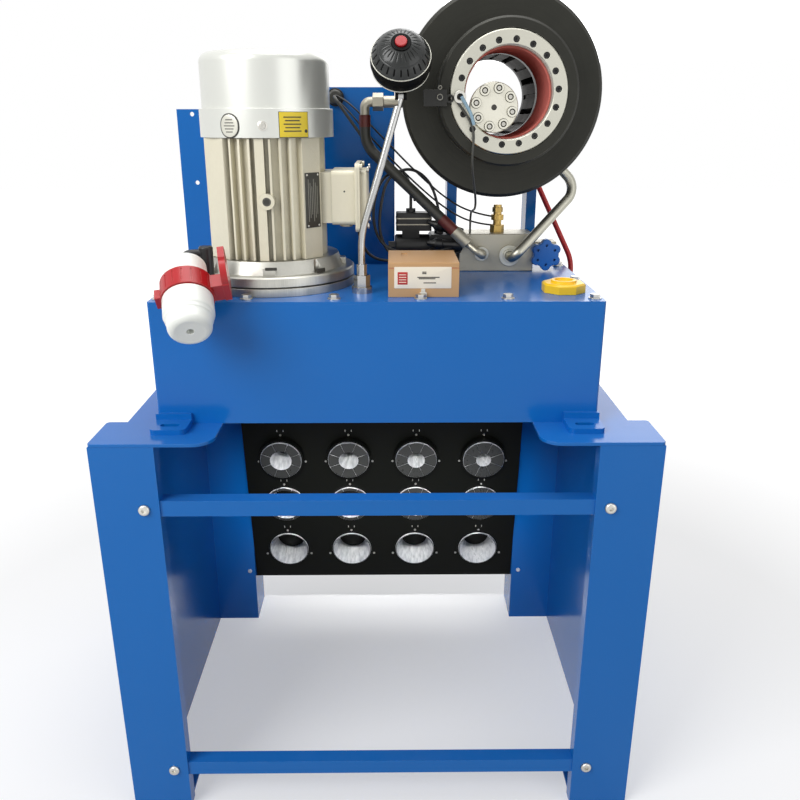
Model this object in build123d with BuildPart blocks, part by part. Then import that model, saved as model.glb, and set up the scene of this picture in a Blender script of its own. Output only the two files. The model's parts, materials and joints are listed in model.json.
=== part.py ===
# Hose crimping machine on a folded-sheet stand, millimetres, +Z up, front towards -Y.
# Values that drive the machine come first; everything else is worked out from them.
import os
from math import atan, cos, degrees, hypot, radians, sin, tan

from build123d import *

os.makedirs("parts", exist_ok=True)

# ---- general
fit = 0.05          # running fit, per side, between pieces that slide or turn
sheet = 3.0         # folded steel sheet of the stand and tank
bend = 6.0          # outside bend radius of the folded sheet

# ---- stand
stand_width = 806.0
stand_depth = 616.0
stand_height = 643.0
plug_overhang = 23.44   # the power plug reaches this far past the front; the frame is centred on both
top_thick = 5.0
leg_face = 92.0         # width of a front leg's face
leg_depth = 88.0
panel_step = 30.5       # side panel set in from the legs' outer faces
leg_lip = 22.0
rear_leg_inner = stand_width / 2 - 119.0  # |x| of the rear legs' inner faces
foot_thick = 4.0
anchor_hole = 12.0
notch_half = 230.0      # mouth in the top plate, under the tank
notch_rest = 25.0       # of the tank's depth, carried behind the mouth
notch_corner = 30.0
front = -stand_depth / 2 + plug_overhang / 2
back = front + stand_depth

# ---- cross bars and their bolts
bar_size = 24.0
bar_wall = 2.0
bar_heights = (75.0, stand_height - 101.0)
bar_bolt_x = stand_width / 2 - 70.0
bolt_shank = 10.0
bolt_head = 17.0
bolt_head_thick = 5.0

# ---- tank
tank_half = 324.5
tank_front = front + 81.0
tank_depth = 312.0
tank_height = 182.0     # with its cover
cover_thick = 4.0
tank_flange = 24.0
lug_x, lug_width, lug_depth, lug_thick = tank_half - 24.5, 52.0, 48.0, 8.0
tank_top = stand_height + tank_height
tank_rear = tank_front + tank_depth
notch_depth = tank_rear - notch_rest - front
cover_bolt_margin, cover_bolt_pitch = 12.5, 125.0
half_row = [tank_half - cover_bolt_margin - i * cover_bolt_pitch for i in range(3)]
cover_bolt_xs = [-x for x in half_row] + half_row[::-1]
cover_bolt_inset = 20.0
cover_bolt_shank = 8.0
cover_bolt_flats = 13.0

# ---- die rack
rack_tilt = 9.0             # top leans forward
rack_bottom = (back - 73.0, 101.0)
rack_height = 420.0
rack_half = rear_leg_inner
rack_return = 40.0
row_heights = (76.0, 196.0, 316.0)      # up the panel: bottom, middle, top row
column_pitch = rack_half / 2 - 4.0
cup_wall = 3.4
cup_floor = 2.0
top_row_proud = 16.0        # the top row's cups stand forward of the panel
die_radius = 42.0
die_length = 50.0
die_gap = 0.5               # slit between neighbouring segments
die_proud = 3.0
die_mouths = ((40, 40, 40, 40), (36, 35, 30, 29), (22, 20, 17.5, 15))
die_bores = ((31, 30, 29, 28), (26, 25, 20, 19), (13, 12, 10.5, 9))

# ---- motor and pump
motor_x, motor_y = 160.5 - tank_half, tank_front + 153.0
flange_radius = 125.0
bell_thick = 12.0
flange_gap = 2.5
motor_flange_thick = 14.0
shield_radius = 112.0
body_bottom = tank_top + 47.0
body_top = tank_top + 218.0
body_radius = 84.0
fin_radius = 94.0
stator_bore = 62.0
shaft_radius = 14.0
band_radius = 98.0
band_top = tank_top + 257.0
cowl_radius = 93.5
cowl_top = tank_top + 333.0
cowl_wall = 2.5

# ---- crimping head, axis along y
head_x, head_z = tank_half - 137.5, tank_top + 278.0
post_front = tank_rear + 3.0
head_front = post_front - 218.0
boss_radius = 100.0
boss_front = head_front + 2.0
disc_front = head_front + 72.0
disc_radius = 150.0
disc_thick = 40.0
barrel_radius = 138.0
barrel_rear = head_front + 262.0
cover_rear = barrel_rear + 15.0
ring_outer = 83.5
ring_inner = 62.5
ring_depth = 20.0
ring_screws = 18
ring_screw_circle = 70.0
ring_screw_start = 6.0
liner_thick = 3.0
bore_radius = 60.0
chamber_radius = 112.0
chamber_front = head_front + 122.0
shoe_front = head_front + 138.0
shoe_rear = head_front + 258.0
shoe_back_front = 105.0     # radius of the shoe's back at its front end, shoes open
wedge_slope = 0.25          # radial travel per axial travel
piston_travel = 44.0
piston_front = head_front + 174.0
piston_rear = head_front + 259.5
shoe_gap = 4.6              # half the gap between neighbouring shoes, open
guide_radius = 94.0
rear_guide_radius = 72.0
shoe_travel = piston_travel * wedge_slope

# ---- head stand
post_xs = (head_x - 62.0, head_x + 76.0)
post_thick = 17.0
post_depth = 50.0
brace_top = tank_top + 35.0

# ---- hydraulics
manifold = (head_x - 53.0, head_x + 71.0, tank_rear - 71.0, tank_rear - 8.0,
            tank_top + 62.0)    # x0, x1, y0, y1, top
port_left = (head_x - 16.0, tank_top + 30.0)
port_right = (head_x + 31.0, tank_top + 27.0)
pipe_radius = 8.0
hose_radius = 8.7
return_radius = 4.8
cable_radius = 2.6

segment_count = 8
sector = 360.0 / segment_count


def hexRadius(flats):
    return flats / 2 / cos(radians(30))


def bendRadii(points):
    """Fillet radius for every inner point of a held cord, from its two runs."""
    radii = []
    for a, b, c in zip(points, points[1:], points[2:]):
        first, second = Vector(*b) - Vector(*a), Vector(*c) - Vector(*b)
        turn = radians(first.get_angle(second))
        radii.append(0.45 * min(first.length, second.length) / tan(turn / 2))
    return radii


def cordLength(points):
    total = sum((Vector(*b) - Vector(*a)).length for a, b in zip(points, points[1:]))
    for (a, b, c), r in zip(zip(points, points[1:], points[2:]), bendRadii(points)):
        turn = radians((Vector(*b) - Vector(*a)).get_angle(Vector(*c) - Vector(*b)))
        total += r * turn - 2 * r * tan(turn / 2)
    return total


def save(builder, label):
    builder.part.label = label
    export_step(builder.part, f"parts/{label}.step")


# ======== stand: two folded sides, each one sheet with a welded rear leg and foot plates
side_outer = stand_width / 2
bar_y = front + sheet + bar_size / 2
panel_x = side_outer - panel_step
side_height = stand_height - top_thick
rear_leg_front = back - leg_depth
side_fold = [
    (-side_outer + leg_face, front + leg_lip), (-side_outer + leg_face, front),
    (-side_outer, front), (-side_outer, front + leg_depth),
    (-panel_x, front + leg_depth), (-panel_x, rear_leg_front),
    (-side_outer, rear_leg_front), (-side_outer, back), (-rear_leg_inner, back),
]
rear_leg_fold = [(-rear_leg_inner, back), (-rear_leg_inner, rear_leg_front),
                 (-panel_x + sheet / 2, rear_leg_front)]


def foldedSheet(path):
    """Closed outline of a sheet that has its outer face along the path and lies left of it."""
    inner = []
    for i, point in enumerate(path):
        here, move = Vector(*point), Vector(0, 0)
        ways = {(round(w.X, 6), round(w.Y, 6)) for w in (
            (here - Vector(*path[i - 1])).normalized() if i else None,
            (Vector(*path[i + 1]) - here).normalized() if i + 1 < len(path) else None) if w}
        for x, y in ways:
            move += Vector(-y, x) * -sheet
        inner.append(here + move)
    return [Vector(*p) for p in path] + inner[::-1]


with BuildPart() as stand_left_side:
    with BuildSketch():
        with BuildLine():
            Polyline(*foldedSheet(side_fold), close=True)
        make_face()
        with BuildLine():
            Polyline(*foldedSheet(rear_leg_fold), close=True)
        make_face()
    extrude(amount=side_height)
    with BuildSketch():
        with Locations(((-side_outer - side_outer + leg_face) / 2, front + leg_depth / 2)):
            Rectangle(leg_face - 2 * sheet, leg_depth - 2 * sheet)
        with Locations(((-side_outer - rear_leg_inner) / 2, back - leg_depth / 2)):
            Rectangle(side_outer - rear_leg_inner - 2 * sheet, leg_depth - 2 * sheet)
    extrude(amount=foot_thick)
    with BuildSketch():
        with Locations((-side_outer + leg_face / 2, front + leg_depth / 2),
                       ((-side_outer - rear_leg_inner) / 2, back - leg_depth / 2)):
            Circle(anchor_hole / 2)
    extrude(amount=foot_thick, mode=Mode.SUBTRACT)
    with BuildSketch(Plane.XZ.offset(-front - sheet - 1)):
        with Locations(*[(-bar_bolt_x, z) for z in bar_heights]):
            Circle(bolt_shank / 2 + fit)
    extrude(amount=sheet + 2, mode=Mode.SUBTRACT)
    with Locations(*[(-side_outer + leg_face, bar_y, z) for z in bar_heights]):
        Box(2 * leg_lip, bar_size + 2 * fit, bar_size + 2 * fit, mode=Mode.SUBTRACT)
save(stand_left_side, "stand_left_side")

with BuildPart() as stand_right_side:
    mirror(stand_left_side.part, about=Plane.YZ)
save(stand_right_side, "stand_right_side")

with BuildPart() as stand_top_plate:
    with BuildSketch(Plane.XY.offset(side_height)):
        with Locations((0, (front + back) / 2)):
            Rectangle(stand_width, stand_depth)
        with Locations((side_outer, (front + back) / 2), (-side_outer, (front + back) / 2)):
            Rectangle(2 * panel_step, stand_depth - 2 * leg_depth, mode=Mode.SUBTRACT)
        with Locations((0, front + notch_depth / 2)):
            Rectangle(2 * notch_half, notch_depth, mode=Mode.SUBTRACT)
    extrude(amount=top_thick)
    ears = stand_top_plate.edges().filter_by(Axis.Z).filter_by(
        lambda e: abs(abs(e.center().X) - notch_half) < 1)
    fillet(ears, radius=notch_corner)
    corners = stand_top_plate.edges().filter_by(Axis.Z).filter_by(
        lambda e: abs(abs(e.center().X) - side_outer) < 1)
    fillet(corners, radius=bend)
save(stand_top_plate, "stand_top_plate")

# ---- two square tubes behind the front legs, closed against the side panels
with BuildPart() as cross_bars:
    with Locations(*[(0, bar_y, z) for z in bar_heights]):
        Box(2 * (panel_x - sheet), bar_size, bar_size)
        Box(2 * (panel_x - sheet), bar_size - 2 * bar_wall, bar_size - 2 * bar_wall,
            mode=Mode.SUBTRACT)
    with BuildSketch(Plane.XZ.offset(-front - sheet)):
        with Locations(*[(x, z) for x in (-bar_bolt_x, bar_bolt_x) for z in bar_heights]):
            Circle(bolt_shank / 2 + fit)
    extrude(amount=-bar_wall - 1, mode=Mode.SUBTRACT)
save(cross_bars, "cross_bars")

with BuildPart() as cross_bar_bolts:
    with BuildSketch(Plane.XZ.offset(-front)):
        with Locations(*[(x, z) for x in (-bar_bolt_x, bar_bolt_x) for z in bar_heights]):
            Circle(bolt_head / 2)
    extrude(amount=bolt_head_thick)
    fillet(cross_bar_bolts.faces().sort_by(Axis.Y)[:4].edges(), radius=bolt_head_thick * 0.7)
    with BuildSketch(Plane.XZ.offset(-front + bolt_head_thick)):
        with Locations(*[(x, z) for x in (-bar_bolt_x, bar_bolt_x) for z in bar_heights]):
            RegularPolygon(hexRadius(6), 6)
    extrude(amount=-3, mode=Mode.SUBTRACT)
    with BuildSketch(Plane.XZ.offset(-front)):
        with Locations(*[(x, z) for x in (-bar_bolt_x, bar_bolt_x) for z in bar_heights]):
            Circle(bolt_shank / 2)
    extrude(amount=-sheet - bar_wall - 8)
save(cross_bar_bolts, "cross_bar_bolts")

# ======== die rack: a leaning panel between the rear legs, with twelve cups
lean = radians(rack_tilt)
rack_plane = Plane(origin=(0, rack_bottom[0], rack_bottom[1]), x_dir=(1, 0, 0),
                   z_dir=(0, -cos(lean), -sin(lean)))
column_xs = [(i - 1.5) * column_pitch for i in range(4)]
cup_inner = die_radius + fit
cup_outer = cup_inner + cup_wall
cup_length = die_length - die_proud + cup_floor


def rackSpots(row):
    return [(x, row_heights[row]) for x in column_xs]


with BuildPart() as rack_panel:
    with BuildSketch(rack_plane):
        with Locations((0, rack_height / 2)):
            Rectangle(2 * rack_half, rack_height)
    extrude(amount=-rack_return)
    with BuildSketch(rack_plane.offset(-sheet)):
        with Locations((0, rack_height / 2)):
            Rectangle(2 * (rack_half - sheet), rack_height - 2 * sheet)
    extrude(amount=-rack_return, mode=Mode.SUBTRACT)
    with BuildSketch(rack_plane.offset(1)):
        with Locations(*rackSpots(0), *rackSpots(1), *rackSpots(2)):
            Circle(cup_outer)
    extrude(amount=-sheet - 2, mode=Mode.SUBTRACT)
save(rack_panel, "rack_panel")

with BuildPart() as die_cups:
    for row, proud in ((0, 0), (1, 0), (2, top_row_proud)):
        with BuildSketch(rack_plane.offset(proud)):
            with Locations(*rackSpots(row)):
                Circle(cup_outer)
        extrude(amount=-cup_length)
        with BuildSketch(rack_plane.offset(proud)):
            with Locations(*rackSpots(row)):
                Circle(cup_inner)
        extrude(amount=cup_floor - cup_length, mode=Mode.SUBTRACT)
save(die_cups, "die_cups")


def dieSet(row, column, proud):
    """One set of eight pressing dies round its bore, face forward of the cup's rim."""
    spot = rack_plane.offset(proud + die_proud)
    centre = spot.from_local_coords(Vector(column_xs[column], row_heights[row], 0))
    mouth, bore = die_mouths[row][column], die_bores[row][column]
    with BuildPart(mode=Mode.PRIVATE) as dies:
        with BuildSketch(Plane.XZ):
            with BuildLine():
                Polyline((mouth, 0), (die_radius - 1, 0), (die_radius, -1),
                         (die_radius, -die_length), (bore, -die_length),
                         (bore, -die_length * 0.62), (mouth, 0))
            make_face()
        revolve(axis=Axis.Z)
        with Locations((0, 0, -die_length / 2)):
            with PolarLocations(0, segment_count // 2, start_angle=sector / 2,
                                angular_range=180):
                Box(2 * die_radius + 2, die_gap, die_length + 2, mode=Mode.SUBTRACT)
    place = Plane(origin=centre, x_dir=spot.x_dir, z_dir=spot.z_dir)
    return dies.part.moved(place.location)


for column in range(4):
    with BuildPart() as top_set:
        add(dieSet(2, column, top_row_proud))
    save(top_set, f"die_set_{column + 1}")

with BuildPart() as stored_die_sets:
    for row in (0, 1):
        for column in range(4):
            add(dieSet(row, column, 0))
save(stored_die_sets, "stored_die_sets")

# ======== tank: welded shell with two slotted lugs, and a bolted cover
shell_top = tank_top - cover_thick
tank_mid = (tank_front + tank_rear) / 2
motor_keep = flange_radius + cover_bolt_flats * 0.72    # no cover bolt within this of the motor's axis
cover_bolt_spots = [(x, tank_front + cover_bolt_inset) for x in cover_bolt_xs]
cover_bolt_spots += [(x, tank_rear - cover_bolt_inset) for x in cover_bolt_xs
                     if not manifold[0] < x < manifold[1]]
cover_bolt_spots += [(cover_bolt_xs[0], tank_mid), (cover_bolt_xs[-1], tank_mid)]
cover_bolt_spots = [(x, y) for x, y in cover_bolt_spots if hypot(x - motor_x, y - motor_y) > motor_keep]
filler = (tank_half - 47.5, tank_front + 73.0)
neck_radius = 22.0
bell_spigot = 70.0
tank_port = (lug_x, stand_height + 79.0)     # drain return, on the rear wall

with BuildPart() as tank_shell:
    with BuildSketch(Plane.XY.offset(stand_height)):
        with Locations((0, tank_mid)):
            RectangleRounded(2 * tank_half, tank_depth, 4)
    extrude(amount=shell_top - stand_height)
    with BuildSketch(Plane.XY.offset(stand_height + sheet)):
        with Locations((0, tank_mid)):
            Rectangle(2 * tank_half - 2 * sheet, tank_depth - 2 * sheet)
    extrude(amount=shell_top - stand_height - 2 * sheet, mode=Mode.SUBTRACT)
    with BuildSketch(Plane.XY.offset(shell_top)):
        with Locations((0, tank_mid)):
            Rectangle(2 * tank_half - 2 * tank_flange, tank_depth - 2 * tank_flange)
    extrude(amount=-2 * sheet, mode=Mode.SUBTRACT)
    with BuildSketch(Plane.XY.offset(shell_top)):
        with Locations(*cover_bolt_spots):
            Circle(cover_bolt_shank / 2 + fit)
    extrude(amount=-2 * sheet, mode=Mode.SUBTRACT)
    with BuildSketch(Plane.XY.offset(stand_height)):
        with Locations((-lug_x, tank_front - lug_depth / 2), (lug_x, tank_front - lug_depth / 2)):
            Rectangle(lug_width, lug_depth)
            with Locations((0, -4)):
                SlotOverall(28, 11, mode=Mode.SUBTRACT)
    extrude(amount=lug_thick)
    lug_corners = tank_shell.edges().filter_by(Axis.Z).filter_by(
        lambda e: abs(e.center().Y - (tank_front - lug_depth)) < 0.5)
    fillet(lug_corners, radius=9)
    with BuildSketch(Plane.XY.offset(stand_height + lug_thick)):
        with Locations((-lug_x, tank_front - 3), (lug_x, tank_front - 3)):
            Rectangle(lug_width, 6)
    extrude(amount=9)
    with BuildSketch(Plane.XZ.offset(-tank_rear)):
        with Locations(tank_port):
            Circle(9)
    extrude(amount=-10)
save(tank_shell, "tank_shell")

with BuildPart() as tank_cover:
    with BuildSketch(Plane.XY.offset(shell_top)):
        with Locations((0, tank_mid)):
            RectangleRounded(2 * tank_half, tank_depth, 4)
        with Locations(*cover_bolt_spots):
            Circle(cover_bolt_shank / 2 + fit, mode=Mode.SUBTRACT)
        with Locations((motor_x, motor_y)):
            Circle(bell_spigot + fit, mode=Mode.SUBTRACT)
        with Locations(filler):
            Circle(neck_radius + 2 * fit, mode=Mode.SUBTRACT)
    extrude(amount=cover_thick)
save(tank_cover, "tank_cover")

with BuildPart() as cover_bolts:
    with BuildSketch(Plane.XY.offset(tank_top)):
        with Locations(*cover_bolt_spots):
            Circle(cover_bolt_flats * 0.72)
    extrude(amount=1.6)
    with BuildSketch(Plane.XY.offset(tank_top + 1.6)):
        with Locations(*cover_bolt_spots):
            RegularPolygon(hexRadius(cover_bolt_flats), 6)
    extrude(amount=5.3)
    with BuildSketch(Plane.XY.offset(tank_top)):
        with Locations(*cover_bolt_spots):
            Circle(cover_bolt_shank / 2)
    extrude(amount=-cover_thick - sheet - 6)
save(cover_bolts, "cover_bolts")

with BuildPart() as filler_cap:
    with BuildSketch(Plane.XY.offset(tank_top)):
        with Locations(filler):
            RegularPolygon(33, 8, rotation=22.5)
    extrude(amount=14)
    chamfer(filler_cap.faces().sort_by(Axis.Z)[-1].edges(), length=2.5)
    with BuildSketch(Plane.XY.offset(tank_top + 14)):
        with Locations(filler):
            Circle(19)
            Circle(14, mode=Mode.SUBTRACT)
    extrude(amount=3.5)
    with BuildSketch(Plane.XY.offset(tank_top)):
        with Locations(filler):
            Circle(neck_radius)
            Circle(neck_radius - 3, mode=Mode.SUBTRACT)
    extrude(amount=-18)
save(filler_cap, "filler_cap")

# ======== motor, standing on the bell housing of the pump
motor_at = Plane(origin=(motor_x, motor_y, 0))
flange_bottom = tank_top + bell_thick + flange_gap
coupling_bottom = tank_top - 53.0
pump_top = tank_top - 60.0

with BuildPart() as pump_unit:
    with BuildSketch(motor_at.offset(tank_top)):
        Circle(flange_radius)
    extrude(amount=bell_thick)
    with BuildSketch(motor_at.offset(tank_top + bell_thick)):
        Circle(flange_radius - 12)
    extrude(amount=flange_gap)
    with BuildSketch(motor_at.offset(pump_top)):
        Circle(bell_spigot)
    extrude(amount=tank_top - pump_top)
    with BuildSketch(motor_at.offset(pump_top + 5)):
        Circle(bell_spigot - 10)
    extrude(amount=flange_bottom - pump_top, mode=Mode.SUBTRACT)
    with BuildSketch(motor_at.offset(pump_top - 75)):
        RectangleRounded(84, 70, 12)
    extrude(amount=75)
    with BuildSketch(motor_at.offset(pump_top - 30)):
        Circle(8 + fit)
    extrude(amount=36, mode=Mode.SUBTRACT)
save(pump_unit, "pump_unit")

with BuildPart() as motor_flange:
    with BuildSketch(motor_at.offset(flange_bottom)):
        Circle(flange_radius)
    extrude(amount=motor_flange_thick)
    chamfer(motor_flange.faces().sort_by(Axis.Z)[-1].edges(), length=2)
    with BuildSketch(motor_at.offset(flange_bottom + motor_flange_thick)):
        Circle(shield_radius - 4)
    extrude(amount=body_bottom - flange_bottom - motor_flange_thick, taper=22)
    with BuildSketch(motor_at.offset(flange_bottom + motor_flange_thick)):
        with PolarLocations(shield_radius - 8, 4, start_angle=-86):
            Rectangle(16, 18)
    extrude(amount=10)
    with BuildSketch(motor_at.offset(flange_bottom)):
        Circle(shaft_radius + fit)
        with PolarLocations(flange_radius - 17.5, 4, start_angle=45):
            Circle(7)
    extrude(amount=body_bottom - flange_bottom, mode=Mode.SUBTRACT)
    with BuildSketch(motor_at.offset(flange_bottom)):
        Circle(50)
    extrude(amount=12, mode=Mode.SUBTRACT)
save(motor_flange, "motor_flange")

terminal_half = 45.0
terminal_z = (body_bottom + 46.0, body_bottom + 125.0)
terminal_x = (motor_x + fin_radius + 2, motor_x + 131.0)
lift_eye = (motor_x + 8, body_bottom + 85.0)    # boss on the front rib
plate_angle, plate_width = -42.0, 26.0


def finAngles():
    """Fins all round, leaving room for the pads, the rib and the terminal box."""
    kept = []
    for i in range(40):
        angle = i * 9.0 - 180
        if abs(angle) < 34 or abs(angle - plate_angle) < 15 or abs(angle + 90) < 7:
            continue
        if -158 < angle < -118 or 128 < angle < 146:
            continue
        kept.append(angle)
    return kept


with BuildPart() as motor_housing:
    with BuildSketch(motor_at.offset(body_bottom)):
        Circle(body_radius)
    extrude(amount=body_top - body_bottom)
    for angle in finAngles():
        a = radians(angle)
        spot = (motor_x + cos(a) * (body_radius + 3), motor_y + sin(a) * (body_radius + 3),
                (body_bottom + body_top) / 2)
        with Locations(Location(spot, (0, 0, angle))):
            Box(2 * (fin_radius - body_radius) - 6, 3.2, body_top - body_bottom - 2)
    for angle, width in ((-138, 50), (137, 26), (-90, 13), (plate_angle, plate_width + 8)):
        a = radians(angle)
        spot = (motor_x + cos(a) * (body_radius + 1), motor_y + sin(a) * (body_radius + 1),
                (body_bottom + body_top) / 2)
        with Locations(Location(spot, (0, 0, angle))):
            Box(2 * (fin_radius - body_radius) - 3, width, body_top - body_bottom - 1)
    with BuildSketch(Plane.YZ.offset(motor_x + body_radius - 14)):
        with Locations((motor_y, sum(terminal_z) / 2)):
            Rectangle(2 * terminal_half - 6, terminal_z[1] - terminal_z[0] - 6)
    extrude(amount=terminal_x[0] - motor_x - body_radius + 14)
    with BuildSketch(Plane.XZ.offset(-(motor_y - fin_radius))):
        with Locations(lift_eye):
            Circle(11)
    extrude(amount=-16)
    with BuildSketch(Plane.XZ.offset(-(motor_y - fin_radius) + 5)):
        with Locations(lift_eye):
            Circle(11)
    extrude(amount=-6)
    with BuildSketch(Plane.XZ.offset(-(motor_y - fin_radius) + 5)):
        with Locations(lift_eye):
            Circle(5)
    extrude(amount=-14, mode=Mode.SUBTRACT)
    with BuildSketch(motor_at.offset(body_bottom)):
        Circle(stator_bore)
    extrude(amount=body_top - body_bottom - 12, mode=Mode.SUBTRACT)
    with BuildSketch(motor_at.offset(body_bottom)):
        Circle(shaft_radius + fit)
    extrude(amount=body_top - body_bottom, mode=Mode.SUBTRACT)
save(motor_housing, "motor_housing")

with BuildPart() as motor_rotor:
    with BuildSketch(motor_at.offset(coupling_bottom + 2)):
        Circle(shaft_radius)
    extrude(amount=band_top + 22 - coupling_bottom)
    with BuildSketch(motor_at.offset(pump_top - 25)):
        Circle(8)
    extrude(amount=coupling_bottom - pump_top + 30)
    with BuildSketch(motor_at.offset(coupling_bottom + 2)):
        Circle(32)
    extrude(amount=46)
    with BuildSketch(motor_at.offset(body_bottom + 14)):
        Circle(stator_bore - 0.6)
    extrude(amount=body_top - body_bottom - 40)
    with BuildSketch(motor_at.offset(body_top + 14)):
        Circle(28)
        with PolarLocations(52, 7):
            Rectangle(56, 3)
    extrude(amount=30)
    with BuildSketch(motor_at.offset(body_top + 14)):
        Circle(80)
    extrude(amount=3)
save(motor_rotor, "motor_rotor")

with BuildPart() as fan_cowl:
    with BuildSketch(motor_at.offset(body_top)):
        Circle(band_radius)
    extrude(amount=band_top - body_top)
    with BuildSketch(motor_at.offset(band_top)):
        Circle(cowl_radius)
    extrude(amount=cowl_top - band_top)
    fillet(fan_cowl.faces().sort_by(Axis.Z)[-1].edges(), radius=14)
    with BuildSketch(motor_at.offset(body_top)):
        Circle(band_radius - cowl_wall)
    extrude(amount=band_top - body_top - cowl_wall, mode=Mode.SUBTRACT)
    with BuildSketch(motor_at.offset(body_top)):
        Circle(cowl_radius - cowl_wall)
    extrude(amount=cowl_top - body_top - 14, mode=Mode.SUBTRACT)
    with BuildSketch(motor_at.offset(body_top)):
        Circle(cowl_radius - 12)
    extrude(amount=cowl_top - body_top - cowl_wall, mode=Mode.SUBTRACT)
    with BuildSketch(motor_at.offset(cowl_top)):
        for ring in (30, 44, 58, 72):
            with PolarLocations(0, 4):
                SlotArc(CenterArc((0, 0), ring, 8, 74, mode=Mode.PRIVATE), 6)
    extrude(amount=-cowl_wall - 1, mode=Mode.SUBTRACT)
save(fan_cowl, "fan_cowl")

terminal_mid = sum(terminal_z) / 2
terminal_height = terminal_z[1] - terminal_z[0]
with BuildPart() as terminal_box:
    with BuildSketch(Plane.YZ.offset(terminal_x[0])):
        with Locations((motor_y, terminal_mid)):
            RectangleRounded(2 * terminal_half, terminal_height, 7)
    extrude(amount=terminal_x[1] - terminal_x[0])
    with BuildSketch(Plane.YZ.offset(terminal_x[1])):
        with Locations((motor_y, terminal_mid)):
            RectangleRounded(2 * terminal_half + 14, terminal_height + 20, 8)
    extrude(amount=4)
    with BuildSketch(Plane.YZ.offset(terminal_x[0] + 5)):
        with Locations((motor_y, terminal_mid)):
            RectangleRounded(2 * terminal_half - 8, terminal_height - 8, 4)
    extrude(amount=terminal_x[1] + 4 - terminal_x[0], mode=Mode.SUBTRACT)
    with BuildSketch(Plane.XY.offset(terminal_z[0])):
        with Locations((sum(terminal_x) / 2, motor_y + 18)):
            RegularPolygon(10, 6)
    extrude(amount=-9)
save(terminal_box, "terminal_box")

lid_x = terminal_x[1] + 4
with BuildPart() as terminal_lid:
    with BuildSketch(Plane.YZ.offset(lid_x)):
        with Locations((motor_y, terminal_mid)):
            RectangleRounded(2 * terminal_half + 14, terminal_height + 20, 8)
    extrude(amount=3)
    with BuildSketch(Plane.YZ.offset(lid_x + 3)):
        with Locations((motor_y, terminal_mid)):
            RectangleRounded(2 * terminal_half, terminal_height, 8)
    extrude(amount=11)
    chamfer(terminal_lid.faces().sort_by(Axis.X)[-1].edges(), length=2)
    with BuildSketch(Plane.YZ.offset(lid_x + 3)):
        with Locations((motor_y, terminal_mid)):
            with GridLocations(2 * terminal_half + 2, terminal_height + 10, 2, 2):
                Circle(4.2)
    extrude(amount=4)
save(terminal_lid, "terminal_lid")

# ======== control cabinet behind the motor, with its thin drilled wing
cabinet_x = (motor_x + 24.0, motor_x + 190.0)
cabinet_front, cabinet_depth, cabinet_top = tank_rear + 31.0, 150.0, tank_top + 294.0
wing_x, wing_top = -tank_half - 20.5, tank_top + 259.0
wing_thick = 3.0
gland = (motor_x + 90.0, cabinet_top - 16.0)
gland_radius = 12.0
cabinet_mid = (sum(cabinet_x) / 2, cabinet_front + cabinet_depth / 2)
cabinet_size = (cabinet_x[1] - cabinet_x[0], cabinet_depth)
with BuildPart() as control_cabinet:
    with BuildSketch(Plane.XY.offset(stand_height)):
        with Locations(cabinet_mid):
            Rectangle(*cabinet_size)
    extrude(amount=cabinet_top - stand_height)
    edges = control_cabinet.edges().filter_by(Axis.Z)
    fillet(edges, radius=3)
    with BuildSketch(Plane.XY.offset(stand_height + 2)):
        with Locations(cabinet_mid):
            Rectangle(cabinet_size[0] - 4, cabinet_size[1] - 4)
    extrude(amount=cabinet_top - stand_height - 4, mode=Mode.SUBTRACT)
    with BuildSketch(Plane.XY.offset(stand_height)):
        with Locations(((wing_x + cabinet_x[0]) / 2 + 4, cabinet_front + wing_thick / 2)):
            Rectangle(cabinet_x[0] - wing_x + 8, wing_thick)
    extrude(amount=wing_top - stand_height)
    with BuildSketch(Plane.XZ.offset(-cabinet_front)):
        with Locations((wing_x + 26, wing_top - 8), (wing_x + 26, wing_top - 121)):
            Circle(3.6)
        with Locations(gland):
            Circle(gland_radius * 0.7)
    extrude(amount=-wing_thick - 6, mode=Mode.SUBTRACT)
    with BuildSketch(Plane.XZ.offset(-cabinet_front - cabinet_depth)):
        with Locations((cabinet_mid[0], (stand_height + cabinet_top) / 2)):
            with GridLocations(cabinet_size[0] - 24, (cabinet_top - stand_height - 30) / 2, 2, 3):
                Circle(5)
            Rectangle(cabinet_size[0] - 60, cabinet_top - stand_height - 60)
    extrude(amount=-2.5)
save(control_cabinet, "control_cabinet")

# ======== crimping head: housing, liner, flange ring, piston and eight shoes on one axis
head_at = Plane(origin=(head_x, 0, head_z), x_dir=(1, 0, 0), z_dir=(0, -1, 0))


def headPlane(y):
    """Plane across the head's axis at y, facing the front."""
    return head_at.offset(-y)


def ringFace(y, outer, inner=0.0):
    with BuildSketch(headPlane(y), mode=Mode.PRIVATE) as face:
        Circle(outer)
        if inner:
            Circle(inner, mode=Mode.SUBTRACT)
    return face.sketch


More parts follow.
